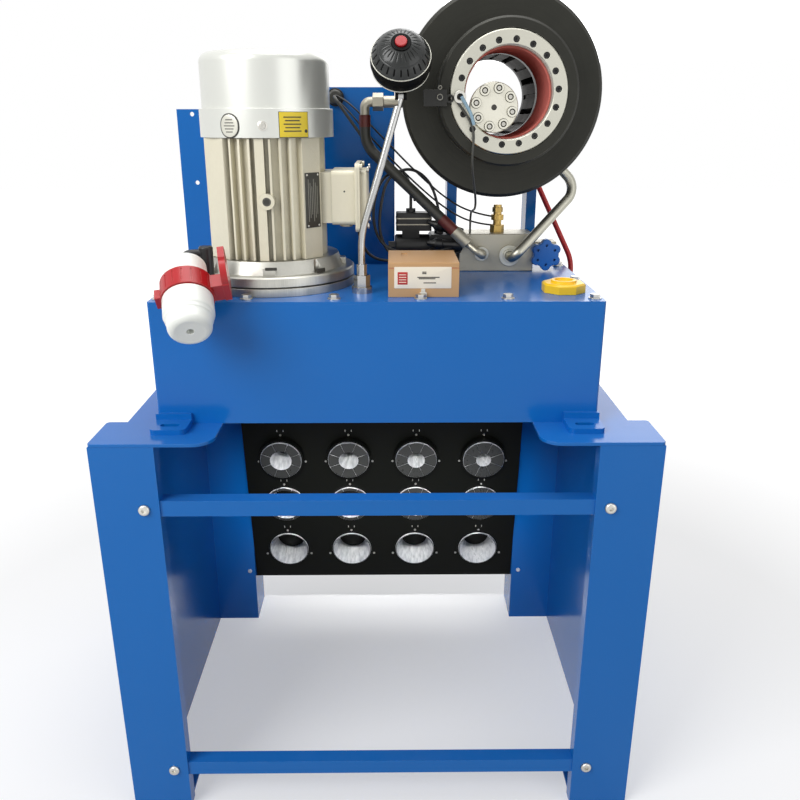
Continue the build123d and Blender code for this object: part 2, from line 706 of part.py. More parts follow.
port_y = head_front + 162.0
left_port_z = head_z - 9.0
left_port_x = head_x - 143.0    # face of the left port's boss
right_port_reach = 142.0    # face of the lower right port's boss, from the axis
port_boss = 14.0
drain = (head_x + 75.0, head_z - 93.0)
drain_boss = 9.0
right_port_at = Plane(origin=(head_x, port_y, head_z), x_dir=(0, 1, 0), z_dir=(1, 0, -1))
with BuildPart() as head_housing:
    extrude(ringFace(disc_front, boss_radius), amount=disc_front - boss_front)
    chamfer(head_housing.faces().sort_by(Axis.Y)[0].edges(), length=3)
    extrude(ringFace(disc_front + disc_thick, disc_radius), amount=disc_thick)
    rim = head_housing.edges().filter_by(GeomType.CIRCLE).filter_by(
        lambda e: abs(e.radius - disc_radius) < 0.1)
    chamfer(rim, length=5)
    extrude(ringFace(barrel_rear, barrel_radius), amount=barrel_rear - (disc_front + disc_thick))
    with BuildSketch(Plane.YZ.offset(left_port_x)):
        with Locations((port_y, left_port_z)):
            Circle(port_boss)
    extrude(amount=24)
    with BuildSketch(right_port_at.offset(right_port_reach)):
        Circle(port_boss)
    extrude(amount=-20)
    with BuildSketch(headPlane(head_front + ring_depth)):
        Circle(ring_outer + 1)
    extrude(amount=ring_depth, mode=Mode.SUBTRACT)
    with BuildSketch(headPlane(chamber_front)):
        Circle(bore_radius + liner_thick)
    extrude(amount=chamber_front - head_front, mode=Mode.SUBTRACT)
    with BuildSketch(headPlane(barrel_rear)):
        Circle(chamber_radius)
    extrude(amount=barrel_rear - chamber_front, mode=Mode.SUBTRACT)
    with BuildSketch(headPlane(shoe_front - fit)):
        Circle(guide_radius)
        Circle(bore_radius, mode=Mode.SUBTRACT)
    extrude(amount=shoe_front - fit - chamber_front)
save(head_housing, "head_housing")

with BuildPart() as bore_liner:
    extrude(ringFace(chamber_front, bore_radius + liner_thick, bore_radius),
            amount=chamber_front - head_front - ring_depth)
save(bore_liner, "bore_liner")

with BuildPart() as front_ring:
    extrude(ringFace(head_front + ring_depth, ring_outer, ring_inner), amount=ring_depth)
    chamfer(front_ring.faces().sort_by(Axis.Y)[0].edges(), length=1.5)
    with BuildSketch(headPlane(head_front)):
        with PolarLocations(ring_screw_circle, ring_screws, start_angle=90 - ring_screw_start):
            Circle(4.6)
    extrude(amount=-7, mode=Mode.SUBTRACT)
    with BuildSketch(headPlane(head_front)):
        with PolarLocations(ring_screw_circle, ring_screws, start_angle=90 - ring_screw_start):
            Circle(2.5 + fit)
    extrude(amount=-ring_depth, mode=Mode.SUBTRACT)
save(front_ring, "front_ring")

with BuildPart() as front_ring_screws:
    with BuildSketch(headPlane(head_front + 7)):
        with PolarLocations(ring_screw_circle, ring_screws, start_angle=90 - ring_screw_start):
            Circle(4.25)
    extrude(amount=5)
    with BuildSketch(headPlane(head_front + 2)):
        with PolarLocations(ring_screw_circle, ring_screws, start_angle=90 - ring_screw_start):
            RegularPolygon(2.4, 6)
    extrude(amount=-3, mode=Mode.SUBTRACT)
    with BuildSketch(headPlane(head_front + 7)):
        with PolarLocations(ring_screw_circle, ring_screws, start_angle=90 - ring_screw_start):
            Circle(2.5)
    extrude(amount=7 - ring_depth)
save(front_ring_screws, "front_ring_screws")

with BuildPart() as rear_cover:
    extrude(ringFace(cover_rear, barrel_radius, bore_radius), amount=cover_rear - barrel_rear)
    chamfer(rear_cover.faces().sort_by(Axis.Y)[-1].edges(), length=2)
    extrude(ringFace(barrel_rear, rear_guide_radius, bore_radius),
            amount=barrel_rear - shoe_rear - fit)
    with BuildSketch(headPlane(cover_rear)):
        with PolarLocations(barrel_radius - 13, 12, start_angle=15):
            RegularPolygon(9, 6)
    extrude(amount=-6)
    with BuildSketch(Plane.XZ.offset(-cover_rear)):
        with Locations(drain):
            Circle(drain_boss)
    extrude(amount=-10)
save(rear_cover, "rear_cover")

# ---- wedge piston: an annular ram whose eight flats lean on the shoes' backs
piston_wall_front = shoe_back_front - (piston_front - shoe_front) * wedge_slope + fit
piston_wall_rear = shoe_back_front - (piston_rear - shoe_front) * wedge_slope + fit
to_corner = 1 / cos(radians(sector / 2))
with BuildPart() as head_piston:
    extrude(ringFace(piston_rear, chamber_radius - fit), amount=piston_rear - piston_front)
    with BuildSketch(headPlane(piston_rear)):
        RegularPolygon(piston_wall_rear * to_corner, segment_count, rotation=sector / 2)
    with BuildSketch(headPlane(piston_front)):
        RegularPolygon(piston_wall_front * to_corner, segment_count, rotation=sector / 2)
    loft(mode=Mode.SUBTRACT)
save(head_piston, "head_piston")

# ---- shoes: one shape, turned to eight places; the back slopes with the piston's flats
shoe_back_rear = shoe_back_front - (shoe_rear - shoe_front) * wedge_slope
side_turn = radians(sector / 2)
apex = shoe_gap / sin(side_turn)
reach = shoe_back_front + 4
with BuildPart() as shoe_blank:
    with BuildSketch(headPlane(shoe_rear)):
        with BuildLine():
            Polyline((apex, 0), (reach, (reach - apex) * tan(side_turn)),
                     (reach, -(reach - apex) * tan(side_turn)), close=True)
        make_face()
        Circle(bore_radius, mode=Mode.SUBTRACT)
        with Locations((bore_radius, 0)):
            Rectangle(6, 7, mode=Mode.SUBTRACT)
    extrude(amount=shoe_rear - shoe_front)
    with BuildSketch(Plane(origin=(head_x, 0, head_z), x_dir=(1, 0, 0), z_dir=(0, 0, 1))):
        with BuildLine():
            Polyline((0, shoe_front), (shoe_back_front, shoe_front),
                     (shoe_back_rear, shoe_rear), (0, shoe_rear), close=True)
        make_face()
    extrude(amount=reach, both=True, mode=Mode.INTERSECT)
    with BuildSketch(headPlane(shoe_front)):
        with Locations((bore_radius + 12, 0)):
            Circle(3.4)
    extrude(amount=-12, mode=Mode.SUBTRACT)

head_axis = Axis((head_x, 0, head_z), (0, 1, 0))
for i in range(segment_count):
    with BuildPart() as shoe:
        add(shoe_blank.part.rotate(head_axis, i * sector))
    save(shoe, f"shoe_{i + 1}")

# ---- die-change tool, a drum with eight pins, resting in the bore's mouth
tool_radius = 34.5
tool_rest = ring_inner - tool_radius - 0.1
tool_turn = radians(224)
tool_front, tool_length = head_front + 4.0, 74.0
tool_at = Plane(origin=(head_x + tool_rest * cos(tool_turn), 0,
                        head_z + tool_rest * sin(tool_turn)), x_dir=(1, 0, 0), z_dir=(0, -1, 0))
with BuildPart() as change_tool:
    with BuildSketch(tool_at.offset(-tool_front - ring_depth + 6)):
        Circle(tool_radius)
    extrude(amount=ring_depth - 6)
    with BuildSketch(tool_at.offset(-tool_front - tool_length)):
        Circle(15)
    extrude(amount=tool_length)
    with BuildSketch(tool_at.offset(-tool_front)):
        with PolarLocations(26.4, 8, start_angle=32):
            Circle(6.8)
    extrude(amount=5)
    with BuildSketch(tool_at.offset(-tool_front + 5)):
        with PolarLocations(26.4, 8, start_angle=32):
            Circle(4.4)
    extrude(amount=-4, mode=Mode.SUBTRACT)
    with BuildSketch(tool_at.offset(-tool_front)):
        Circle(4)
    extrude(amount=-10, mode=Mode.SUBTRACT)
    chamfer(change_tool.edges().filter_by(GeomType.CIRCLE).filter_by(
        lambda e: abs(e.radius - tool_radius) < 0.1), length=1.2)
save(change_tool, "change_tool")

with BuildPart() as switch_bracket:
    with BuildSketch(headPlane(boss_front)):
        with Locations((-104, -7)):
            Rectangle(32, 22)
    extrude(amount=8)
    with BuildSketch(headPlane(boss_front)):
        with Locations((-113, -7)):
            Rectangle(14, 22)
    extrude(amount=-12)
    with BuildSketch(headPlane(boss_front - 8)):
        with Locations((-98, -7)):
            Circle(4.2)
    extrude(amount=3)
    with BuildSketch(headPlane(boss_front - 3)):
        with Locations((-84, -8)):
            Circle(6)
            Circle(3, mode=Mode.SUBTRACT)
    extrude(amount=4)
save(switch_bracket, "switch_bracket")

# ======== head stand: two thick posts and a brace behind the tank
with BuildPart() as head_stand:
    with BuildSketch(Plane.XY.offset(stand_height)):
        with Locations(*[(x, post_front + post_depth / 2) for x in post_xs]):
            Rectangle(post_thick, post_depth)
    extrude(amount=head_z - stand_height)
    with BuildSketch(Plane.XY.offset(stand_height)):
        with Locations((sum(post_xs) / 2, post_front + post_depth - 5)):
            Rectangle(post_xs[1] - post_xs[0], 10)
    extrude(amount=brace_top - stand_height)
    with BuildSketch(Plane.XY.offset(stand_height)):
        with Locations((sum(post_xs) / 2, post_front + post_depth / 2)):
            Rectangle(post_xs[1] - post_xs[0] + 60, post_depth)
    extrude(amount=10)
    with BuildSketch(headPlane(barrel_rear + 60)):
        Circle(barrel_radius)
    extrude(amount=200, mode=Mode.SUBTRACT)
save(head_stand, "head_stand")

# ======== manifold and valves on the tank cover
mx0, mx1, my0, my1, mtop = manifold
with BuildPart() as manifold_block:
    with Locations(((mx0 + mx1) / 2, (my0 + my1) / 2, (tank_top + mtop) / 2)):
        Box(mx1 - mx0, my1 - my0, mtop - tank_top)
    chamfer(manifold_block.edges(), length=1)
    with BuildSketch(Plane.XZ.offset(-my0)):
        with Locations(port_left):
            Circle(10)
        with Locations(port_right):
            Circle(16)
            Circle(11.5, mode=Mode.SUBTRACT)
    extrude(amount=4)
    with BuildSketch(Plane.XZ.offset(-my0)):
        with Locations(port_left):
            Circle(6 + 2 * fit)
        with Locations(port_right):
            Circle(pipe_radius + 2 * fit)
    extrude(amount=4, mode=Mode.SUBTRACT)
save(manifold_block, "manifold_block")

valve_y, valve_z = my0 + 32.0, tank_top + 37.0
valve_x = (mx0 - 50.0, mx0)
coil_x = (valve_x[0] - 58.0, valve_x[0])
with BuildPart() as solenoid_valve:
    with Locations(((valve_x[0] + valve_x[1]) / 2, valve_y, (tank_top + valve_z + 23) / 2)):
        Box(valve_x[1] - valve_x[0], 46, valve_z + 23 - tank_top)
    chamfer(solenoid_valve.edges().filter_by(Axis.Y), length=3)
    with BuildSketch(Plane.XY.offset(valve_z + 23)):
        with Locations(((valve_x[0] + valve_x[1]) / 2 - 8, valve_y),
                       ((valve_x[0] + valve_x[1]) / 2 + 12, valve_y)):
            RegularPolygon(8, 6)
    extrude(amount=6)
save(solenoid_valve, "solenoid_valve")

with BuildPart() as valve_coil:
    with BuildSketch(Plane.YZ.offset(coil_x[0])):
        with Locations((valve_y, valve_z)):
            Circle(21)
    extrude(amount=coil_x[1] - coil_x[0])
    fillet(valve_coil.faces().sort_by(Axis.X)[0].edges(), radius=4)
    with BuildSketch(Plane.YZ.offset(coil_x[0])):
        with Locations((valve_y, valve_z)):
            RegularPolygon(10, 6)
    extrude(amount=-11)
    with Locations((sum(coil_x) / 2 - 2, valve_y, valve_z + 36)):
        Box(29, 28, 40)
    with Locations((sum(coil_x) / 2 - 2, valve_y, valve_z + 59)):
        Cylinder(8, 10)
save(valve_coil, "valve_coil")

brass_at = (mx1 - 58.5, my0 + 30.0)
brass_steps = (     # radius, from and to above the block; the first and last are hexagons
    (12, 0, 12), (7, 12, 45), (10.5, 20, 29), (9, 33, 41))
with BuildPart() as brass_valve:
    for step, (step_radius, low, high) in enumerate(brass_steps):
        with BuildSketch(Plane.XY.offset(mtop + low)):
            with Locations(brass_at):
                if step in (0, 3):
                    RegularPolygon(step_radius, 6)
                else:
                    Circle(step_radius)
        extrude(amount=high - low)
save(brass_valve, "brass_valve")

knob_at = (mx1 + 20.0, tank_top + 29.0)
knob_radius = 24.0
relief_front = my0 + 4.0
with BuildPart() as relief_valve:
    with Locations((knob_at[0], relief_front + 20, knob_at[1])):
        Box(40, 40, 38)
    chamfer(relief_valve.edges().filter_by(Axis.X), length=4)
    with BuildSketch(Plane.XZ.offset(-relief_front)):
        with Locations(knob_at):
            Circle(12)
            Circle(6 + fit, mode=Mode.SUBTRACT)
    extrude(amount=5)
    with BuildSketch(Plane.XZ.offset(-relief_front + 5)):
        with Locations(knob_at):
            Circle(6 + fit)
    extrude(amount=-25, mode=Mode.SUBTRACT)
save(relief_valve, "relief_valve")

with BuildPart() as star_knob:
    with BuildSketch(Plane.XZ.offset(-relief_front + 5 + fit)):
        with Locations(knob_at):
            Circle(knob_radius - 3)
            with PolarLocations(knob_radius - 6, 6, start_angle=30):
                Circle(8)
    extrude(amount=14)
    chamfer(star_knob.faces().sort_by(Axis.Y)[0].edges(), length=1.5)
    with BuildSketch(Plane.XZ.offset(-relief_front + 19 + fit)):
        with Locations(knob_at):
            with PolarLocations(knob_radius - 8, 6, start_angle=30):
                Circle(2.2)
    extrude(amount=-6, mode=Mode.SUBTRACT)
    with BuildSketch(Plane.XZ.offset(-relief_front + 5 + fit)):
        with Locations(knob_at):
            Circle(6)
    extrude(amount=-20)
save(star_knob, "star_knob")

# ======== pipes, hoses and cables
def roundSweep(points, radius):
    """A round cord along straight runs joined by tangent arcs."""
    with BuildPart(mode=Mode.PRIVATE) as cord:
        with BuildLine() as path:
            FilletPolyline(*points, radius=bendRadii(points))
        with BuildSketch(Plane(origin=path.line @ 0, z_dir=path.line % 0)):
            Circle(radius)
        sweep(path=path.line)
    return cord.part


def hexAlong(start, towards, flats, length):
    """A hexagon nut from start, along the direction given."""
    with BuildPart(mode=Mode.PRIVATE) as nut:
        with BuildSketch(Plane(origin=start, z_dir=towards)):
            RegularPolygon(hexRadius(flats), 6)
        extrude(amount=length)
    return nut.part


right_port = tuple(right_port_at.from_local_coords(Vector(0, 0, right_port_reach)))
pipe_points = [
    (port_right[0], my0, port_right[1]), (port_right[0], my0 - 40, port_right[1]),
    (head_x + 143, port_y, head_z - 143), right_port,
]
with BuildPart() as steel_pipe:
    add(roundSweep(pipe_points, pipe_radius))
    add(hexAlong(right_port, (1, 0, -1), 27, 15))
save(steel_pipe, "steel_pipe")

nut_x = left_port_x - 36.0
elbow_x = nut_x - 30.0
hose_points = [(elbow_x, port_y, left_port_z - 20), (elbow_x, port_y, left_port_z - 66),
               (port_left[0] - 47, my0 - 16, port_left[1] + 39)]
hose_end = Vector(*hose_points[2])
hose_way = (hose_end - Vector(*hose_points[1])).normalized()
ferrule_length = 30.0
ferrule_end = tuple(hose_end + hose_way * ferrule_length)
with BuildPart() as hydraulic_hose:
    add(roundSweep(hose_points, hose_radius))
save(hydraulic_hose, "hydraulic_hose")

with BuildPart() as hose_fittings:
    add(hexAlong((nut_x, port_y, left_port_z), (-1, 0, 0), 24, 17))
    with BuildSketch(Plane.YZ.offset(left_port_x)):
        with Locations((port_y, left_port_z)):
            Circle(9)
    extrude(amount=nut_x - left_port_x)
    add(roundSweep([(nut_x - 10, port_y, left_port_z), (elbow_x, port_y, left_port_z),
                    hose_points[0]], 7.6))
    with BuildSketch(Plane(origin=hose_end, z_dir=hose_way)):
        Circle(hose_radius + 1.6)
    extrude(amount=ferrule_length)
    add(roundSweep([ferrule_end, (port_left[0], my0 - 38, port_left[1]),
                    (port_left[0], my0, port_left[1])], 6.0))
save(hose_fittings, "hose_fittings")

return_points = [
    (drain[0], cover_rear + 10, drain[1]), (drain[0], cover_rear + 46, drain[1]),
    (tank_half + 41.5, cover_rear, tank_top - 29), (tank_port[0], tank_rear + 39, tank_port[1]),
    (tank_port[0], tank_rear + 10, tank_port[1]),
]
with BuildPart() as return_hose:
    add(roundSweep(return_points, return_radius))
save(return_hose, "return_hose")

coil_mid = sum(coil_x) / 2 - 2
gland_points = [
    (gland[0], cabinet_front - 14, gland[1]), (gland[0], cabinet_front - 40, gland[1]),
    (nut_x, my0 + 50, tank_top + 165), (coil_mid, valve_y, valve_z + 104),
    (coil_mid, valve_y, valve_z + 64),
]
with BuildPart() as gland_cable:
    with BuildSketch(Plane.XZ.offset(-cabinet_front)):
        with Locations(gland):
            Circle(gland_radius)
    extrude(amount=14)
    fillet(gland_cable.faces().sort_by(Axis.Y)[0].edges(), radius=4)
    add(roundSweep(gland_points, cable_radius))
save(gland_cable, "gland_cable")

switch_points = [
    (head_x - 75, boss_front - 8.5, head_z - 10), (head_x - 48, boss_front - 12, head_z - 45),
    (head_x - 51, boss_front - 9, head_z - 95), (mx0 + 19, my0 - 77, mtop + 51),
    (mx0 + 18, my0 + 10, mtop + 35), (mx0 + 18, my0 + 10, mtop),
]
with BuildPart() as switch_cable:
    add(roundSweep(switch_points, 1.8))
save(switch_cable, "switch_cable")

# ======== things standing on the tank: accessory box, lamp and power plug
box_x, box_y, box_height = (15.5, 117.5), (tank_front + 30.5, tank_front + 145.0), 50.0
with BuildPart() as accessory_box:
    with Locations((sum(box_x) / 2, sum(box_y) / 2, tank_top + box_height / 2)):
        Box(box_x[1] - box_x[0], box_y[1] - box_y[0], box_height)
    fillet(accessory_box.edges().filter_by(Axis.Y), radius=1.2)
    with Locations((box_x[0] + 24, box_y[0] + 74, tank_top + box_height)):
        Box(9, 34, 4, mode=Mode.SUBTRACT)
save(accessory_box, "accessory_box")

lamp_foot = (-23.5, tank_front + 67.0)
lamp_hinge = Vector(34.0, lamp_foot[1], tank_top + 273.0)
stem_radius = 5.0
hinge_radius, hinge_half, pin_radius = 6.0, 3.5, 2.4
stem_points = [(*lamp_foot, tank_top + 40), (*lamp_foot, tank_top + 84), tuple(lamp_hinge)]
with BuildPart() as lamp_stem:
    with BuildSketch(Plane.XY.offset(tank_top)):
        with Locations(lamp_foot):
            Circle(15)
    extrude(amount=9)
    with BuildSketch(Plane.XY.offset(tank_top + 9)):
        with Locations(lamp_foot):
            RegularPolygon(hexRadius(21), 6)
    extrude(amount=17)
    with BuildSketch(Plane.XY.offset(tank_top + 26)):
        with Locations(lamp_foot):
            Circle(7.5)
    extrude(amount=16)
    add(roundSweep(stem_points, stem_radius))
    with BuildSketch(Plane.YZ.offset(lamp_hinge.X - hinge_half)):
        with Locations((lamp_hinge.Y, lamp_hinge.Z)):
            Circle(hinge_radius)
    extrude(amount=2 * hinge_half)
    with BuildSketch(Plane.YZ.offset(lamp_hinge.X - hinge_half - 3)):
        with Locations((lamp_hinge.Y, lamp_hinge.Z)):
            Circle(pin_radius + fit)
    extrude(amount=2 * hinge_half + 6, mode=Mode.SUBTRACT)
    with BuildSketch(Plane.YZ.offset(lamp_hinge.X - hinge_half - 20)):
        with Locations((lamp_hinge.Y, lamp_hinge.Z)):
            Circle(hinge_radius + 8)
    extrude(amount=20 - fit, mode=Mode.SUBTRACT)
    with BuildSketch(Plane.YZ.offset(lamp_hinge.X + hinge_half + fit)):
        with Locations((lamp_hinge.Y, lamp_hinge.Z)):
            Circle(hinge_radius + 8)
    extrude(amount=20, mode=Mode.SUBTRACT)
save(lamp_stem, "lamp_stem")

lamp_tilt = radians(35)
lamp_axis = Vector(0, -cos(lamp_tilt), sin(lamp_tilt))
lamp_up = Vector(0, sin(lamp_tilt), cos(lamp_tilt))
hinge_reach = 39.6
lamp_at = Plane(origin=lamp_hinge + lamp_up * hinge_reach, x_dir=(1, 0, 0), z_dir=lamp_axis)
button_radius = 8.2
with BuildPart() as lamp_blank:
    with BuildSketch(Plane.XZ):
        with BuildLine():
            Polyline((0, 0), (31, 0), (39.5, 9), (42, 19), (42, 24))
            ThreePointArc((42, 24), (32.5, 44), (13, 56))
            Polyline((13, 56), (0, 56), (0, 0))
        make_face()
    revolve(axis=Axis.Z)
    with BuildSketch(Plane.XY.offset(58)):
        Circle(13)
    extrude(amount=-4)
    with BuildSketch(Plane.XY.offset(58)):
        Circle(button_radius + fit)
    extrude(amount=-8, mode=Mode.SUBTRACT)
    with PolarLocations(43.2, 24):
        with Locations((0, 0, 27)):
            Box(3, 3.2, 12, mode=Mode.SUBTRACT)
    with BuildSketch(Plane.YZ.offset(-hinge_half - 4.5)):
        with Locations((-hinge_reach, 0)):
            Circle(hinge_radius - 0.5)
        with Locations((-hinge_reach + 7, 1.5)):
            Rectangle(14, 8)
    extrude(amount=4.5 - fit)
    with BuildSketch(Plane.YZ.offset(hinge_half + fit)):
        with Locations((-hinge_reach, 0)):
            Circle(hinge_radius - 0.5)
        with Locations((-hinge_reach + 7, 1.5)):
            Rectangle(14, 8)
    extrude(amount=4.5 - fit)
    with BuildSketch(Plane.YZ.offset(-hinge_half - 2)):
        with Locations((-hinge_reach, 0)):
            Circle(pin_radius)
    extrude(amount=2 * hinge_half + 4)
lamp_body = lamp_blank.part.moved(lamp_at.location)
with BuildPart() as lamp_head:
    add(lamp_body)
save(lamp_head, "lamp_head")

button_stroke = 2.0
with BuildPart() as lamp_button:
    with BuildSketch(lamp_at.offset(50 + button_stroke + 1)):
        Circle(button_radius)
    extrude(amount=8.5)
    chamfer(lamp_button.edges().filter_by(GeomType.CIRCLE), length=0.8)
save(lamp_button, "lamp_button")

plug_ring_radius = 36.0
plug_neck = 32.0            # the collar turns on this
collar_low, collar_high = 0.0, 30.0     # along the plug, towards its nose
plug_way = Vector(sin(radians(14)) * cos(radians(35)), -cos(radians(14)) * cos(radians(35)),
                  -sin(radians(35)))
plug_up = Vector(0, plug_way.Z, -plug_way.Y).normalized()
plug_side = plug_up.cross(plug_way)
plug_at = Plane(origin=Vector(64.5 - tank_half, tank_front, tank_top) + plug_up * (plug_ring_radius + 0.15),
                x_dir=plug_side, z_dir=plug_way)
with BuildPart() as plug_blank:
    with BuildSketch(Plane.XZ):
        with BuildLine():
            Polyline((0, -37), (21, -37))
            ThreePointArc((21, -37), (26.5, -34.5), (29, -29))
            Polyline((29, -29), (29.5, collar_low), (plug_neck, collar_low), (plug_neck, collar_high),
                     (34.2, collar_high + 1), (34.2, 58), (32, 62), (32, 66), (30.5, 68), (29.5, 78))
            ThreePointArc((29.5, 78), (26.5, 84.5), (20, 87))
            Polyline((20, 87), (18, 86), (0, 86), (0, -37))
        make_face()
    revolve(axis=Axis.Z)
    with BuildSketch(Plane.XY.offset(86)):
        Circle(5)
    extrude(amount=-22, mode=Mode.SUBTRACT)
with BuildPart() as plug_body:
    add(plug_blank.part.moved(plug_at.location))
save(plug_body, "plug_body")

with BuildPart() as ring_blank:
    with BuildSketch(Plane.XY.offset(collar_low + 0.1)):
        Circle(plug_ring_radius)
    extrude(amount=collar_high - collar_low - 0.2)
    with PolarLocations(plug_ring_radius + 0.6, 18, start_angle=10):
        with Locations((0, 0, (collar_low + collar_high) / 2)):
            Box(2.6, 2.2, 22, mode=Mode.SUBTRACT)
    with BuildSketch(Plane.XY.offset(collar_low + 3)):
        with Locations((plug_ring_radius + 9, 0)):
            Rectangle(26, 28)
    extrude(amount=22)
    with BuildSketch(Plane.YZ.offset(plug_ring_radius + 13)):
        with BuildLine():
            Polyline((-15, 26), (-17, -13), (20, -36), (36, -26), (38, -4), (14, 26), close=True)
        make_face()
        with Locations((15, 4)):
            Circle(21)
    extrude(amount=9)
    with BuildSketch(Plane.XY.offset(collar_low + 8)):
        with Locations((-plug_ring_radius - 2, -4)):
            Rectangle(10, 20)
    extrude(amount=16)
    with BuildSketch(Plane.XY.offset(collar_low)):
        Circle(plug_neck + fit)
    extrude(amount=collar_high - collar_low, mode=Mode.SUBTRACT)
with BuildPart() as plug_ring:
    add(ring_blank.part.moved(plug_at.location))
save(plug_ring, "plug_ring")

# ---- holder behind the plug: a rounded post on the cover, with an arm into the plug's rear end
plug_rear = plug_at.from_local_coords(Vector(0, 0, -37))
post_at = Plane(origin=(plug_rear.X + 24, plug_rear.Y + 28, tank_top))
arm_turn = plug_rear - plug_way * 22
post_top = arm_turn.Z - tank_top + 10
with BuildPart() as plug_holder:
    with BuildSketch(post_at):
        Circle(15)
    extrude(amount=5)
    with BuildSketch(post_at.offset(5)):
        Circle(10)
    extrude(amount=post_top - 5)
    fillet(plug_holder.faces().sort_by(Axis.Z)[-1].edges(), radius=3)
    add(roundSweep([tuple(plug_rear), tuple(arm_turn), (post_at.origin.X, post_at.origin.Y, arm_turn.Z)], 6))
save(plug_holder, "plug_holder")

print("return hose", [round(r, 1) for r in bendRadii(return_points)], round(cordLength(return_points)))
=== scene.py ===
# Hose crimping machine: finishes, small pieces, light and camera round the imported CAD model. Metres.
import json
import math

import bpy
import numpy as np
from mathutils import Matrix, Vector


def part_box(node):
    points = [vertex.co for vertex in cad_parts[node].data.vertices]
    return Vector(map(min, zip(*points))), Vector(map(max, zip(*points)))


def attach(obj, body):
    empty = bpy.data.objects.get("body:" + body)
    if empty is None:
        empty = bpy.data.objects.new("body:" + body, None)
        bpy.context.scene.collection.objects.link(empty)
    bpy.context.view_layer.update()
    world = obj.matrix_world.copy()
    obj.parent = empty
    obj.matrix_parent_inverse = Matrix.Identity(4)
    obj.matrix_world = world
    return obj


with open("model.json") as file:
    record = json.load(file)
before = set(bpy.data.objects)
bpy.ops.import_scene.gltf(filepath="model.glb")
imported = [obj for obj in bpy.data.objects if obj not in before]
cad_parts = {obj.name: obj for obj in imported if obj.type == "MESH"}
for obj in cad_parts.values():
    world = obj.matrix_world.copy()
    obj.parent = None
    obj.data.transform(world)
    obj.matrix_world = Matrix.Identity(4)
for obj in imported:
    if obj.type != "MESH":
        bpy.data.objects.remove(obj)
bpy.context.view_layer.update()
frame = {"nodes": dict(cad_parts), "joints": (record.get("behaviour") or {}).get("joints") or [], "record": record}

nodes = frame["nodes"]


# low and high corner of a node's box at rest
def boxOf(node):
    low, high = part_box(node)
    return np.array(low), np.array(high)


def middle(node):
    low, high = boxOf(node)
    return (low + high) / 2


ringMiddle = middle("front_ring")
headX, headZ = ringMiddle[0], ringMiddle[2]
standLow = boxOf("stand_top_plate")[0]
print("places read")


# a shader group with the named inputs and outputs, and its two end nodes
def newGroup(name, inputs, outputs):
    group = bpy.data.node_groups.new(name, "ShaderNodeTree")
    for label, kind, value in inputs:
        socket = group.interface.new_socket(label, in_out="INPUT", socket_type=kind)
        if value is not None:
            socket.default_value = value
    for label, kind in outputs:
        group.interface.new_socket(label, in_out="OUTPUT", socket_type=kind)
    return group, group.nodes.new("NodeGroupInput"), group.nodes.new("NodeGroupOutput")


# one Math node; a and b are sockets or numbers
def mathNode(tree, operation, a, b=None, clamp=False):
    node = tree.nodes.new("ShaderNodeMath")
    node.operation = operation
    node.use_clamp = clamp
    for place, value in enumerate((a, b)):
        if value is None:
            continue
        if isinstance(value, (int, float)):
            node.inputs[place].default_value = value
        else:
            tree.links.new(value, node.inputs[place])
    return node.outputs[0]


# fractal noise at the given place; scale is a socket or a number
def noiseNode(tree, vector, scale, detail=3.0, roughness=0.55):
    node = tree.nodes.new("ShaderNodeTexNoise")
    node.inputs["Detail"].default_value = detail
    node.inputs["Roughness"].default_value = roughness
    if isinstance(scale, (int, float)):
        node.inputs["Scale"].default_value = scale
    else:
        tree.links.new(scale, node.inputs["Scale"])
    tree.links.new(vector, node.inputs["Vector"])
    return node.outputs["Fac"]


# stretches the span from low to high over the span from outLow to outHigh
def rangeNode(tree, value, low, high, outLow=0.0, outHigh=1.0):
    node = tree.nodes.new("ShaderNodeMapRange")
    for label, number in (("From Min", low), ("From Max", high), ("To Min", outLow), ("To Max", outHigh)):
        node.inputs[label].default_value = number
    tree.links.new(value, node.inputs["Value"])
    return node.outputs["Result"]


# 1 for rays from the camera, a mirror or a clear piece, 0 for light that falls on things
def seenDirectly(tree):
    path = tree.nodes.new("ShaderNodeLightPath").outputs
    direct = mathNode(tree, "MAXIMUM", path["Is Camera Ray"], path["Is Glossy Ray"])
    return mathNode(tree, "MAXIMUM", direct, path["Is Transmission Ray"])


# camera, lamps and floor
cameraSet = {"side": 0.0214, "ahead": 1.0324, "up": 1.0674, "down": 19.25, "right": 0.554, "lens": 36.15}
# the rack's lamp is a strip under the tank that the camera doesn't see
lampSet = {
    "key": {"place": (-1.7, -1.8, 2.2), "size": 1.6, "power": 54},
    "fill": {"place": (2.0, -1.9, 1.2), "size": 1.8, "power": 11},
    "top": {"place": (0.1, 0.1, 2.9), "size": 1.8, "power": 32},
    "back": {"place": (0.9, 2.2, 2.0), "size": 1.6, "power": 14},
    "rack": {"place": (0.0, -0.15, 0.625), "size": 0.52, "high": 0.03, "spread": 44, "power": 0.62,
             "aim": (0, 0.235, 0.27)},
}
floorSet = {"size": 24.0, "grey": 0.60, "glow": 0.40, "fadeFrom": 1.0, "fadeTo": 2.6}
worldSet = {"light": 0.24}

scene = bpy.context.scene
scene.view_settings.view_transform = "Standard"

cameraData = bpy.data.cameras.new("camera")
cameraData.lens = cameraSet["lens"]
cameraData.sensor_width = 36
camera = bpy.data.objects.new("camera", cameraData)
scene.collection.objects.link(camera)
camera.location = (cameraSet["side"], standLow[1] - cameraSet["ahead"], cameraSet["up"])
camera.rotation_euler = (math.radians(90 - cameraSet["down"]), 0, -math.radians(cameraSet["right"]))
scene.camera = camera

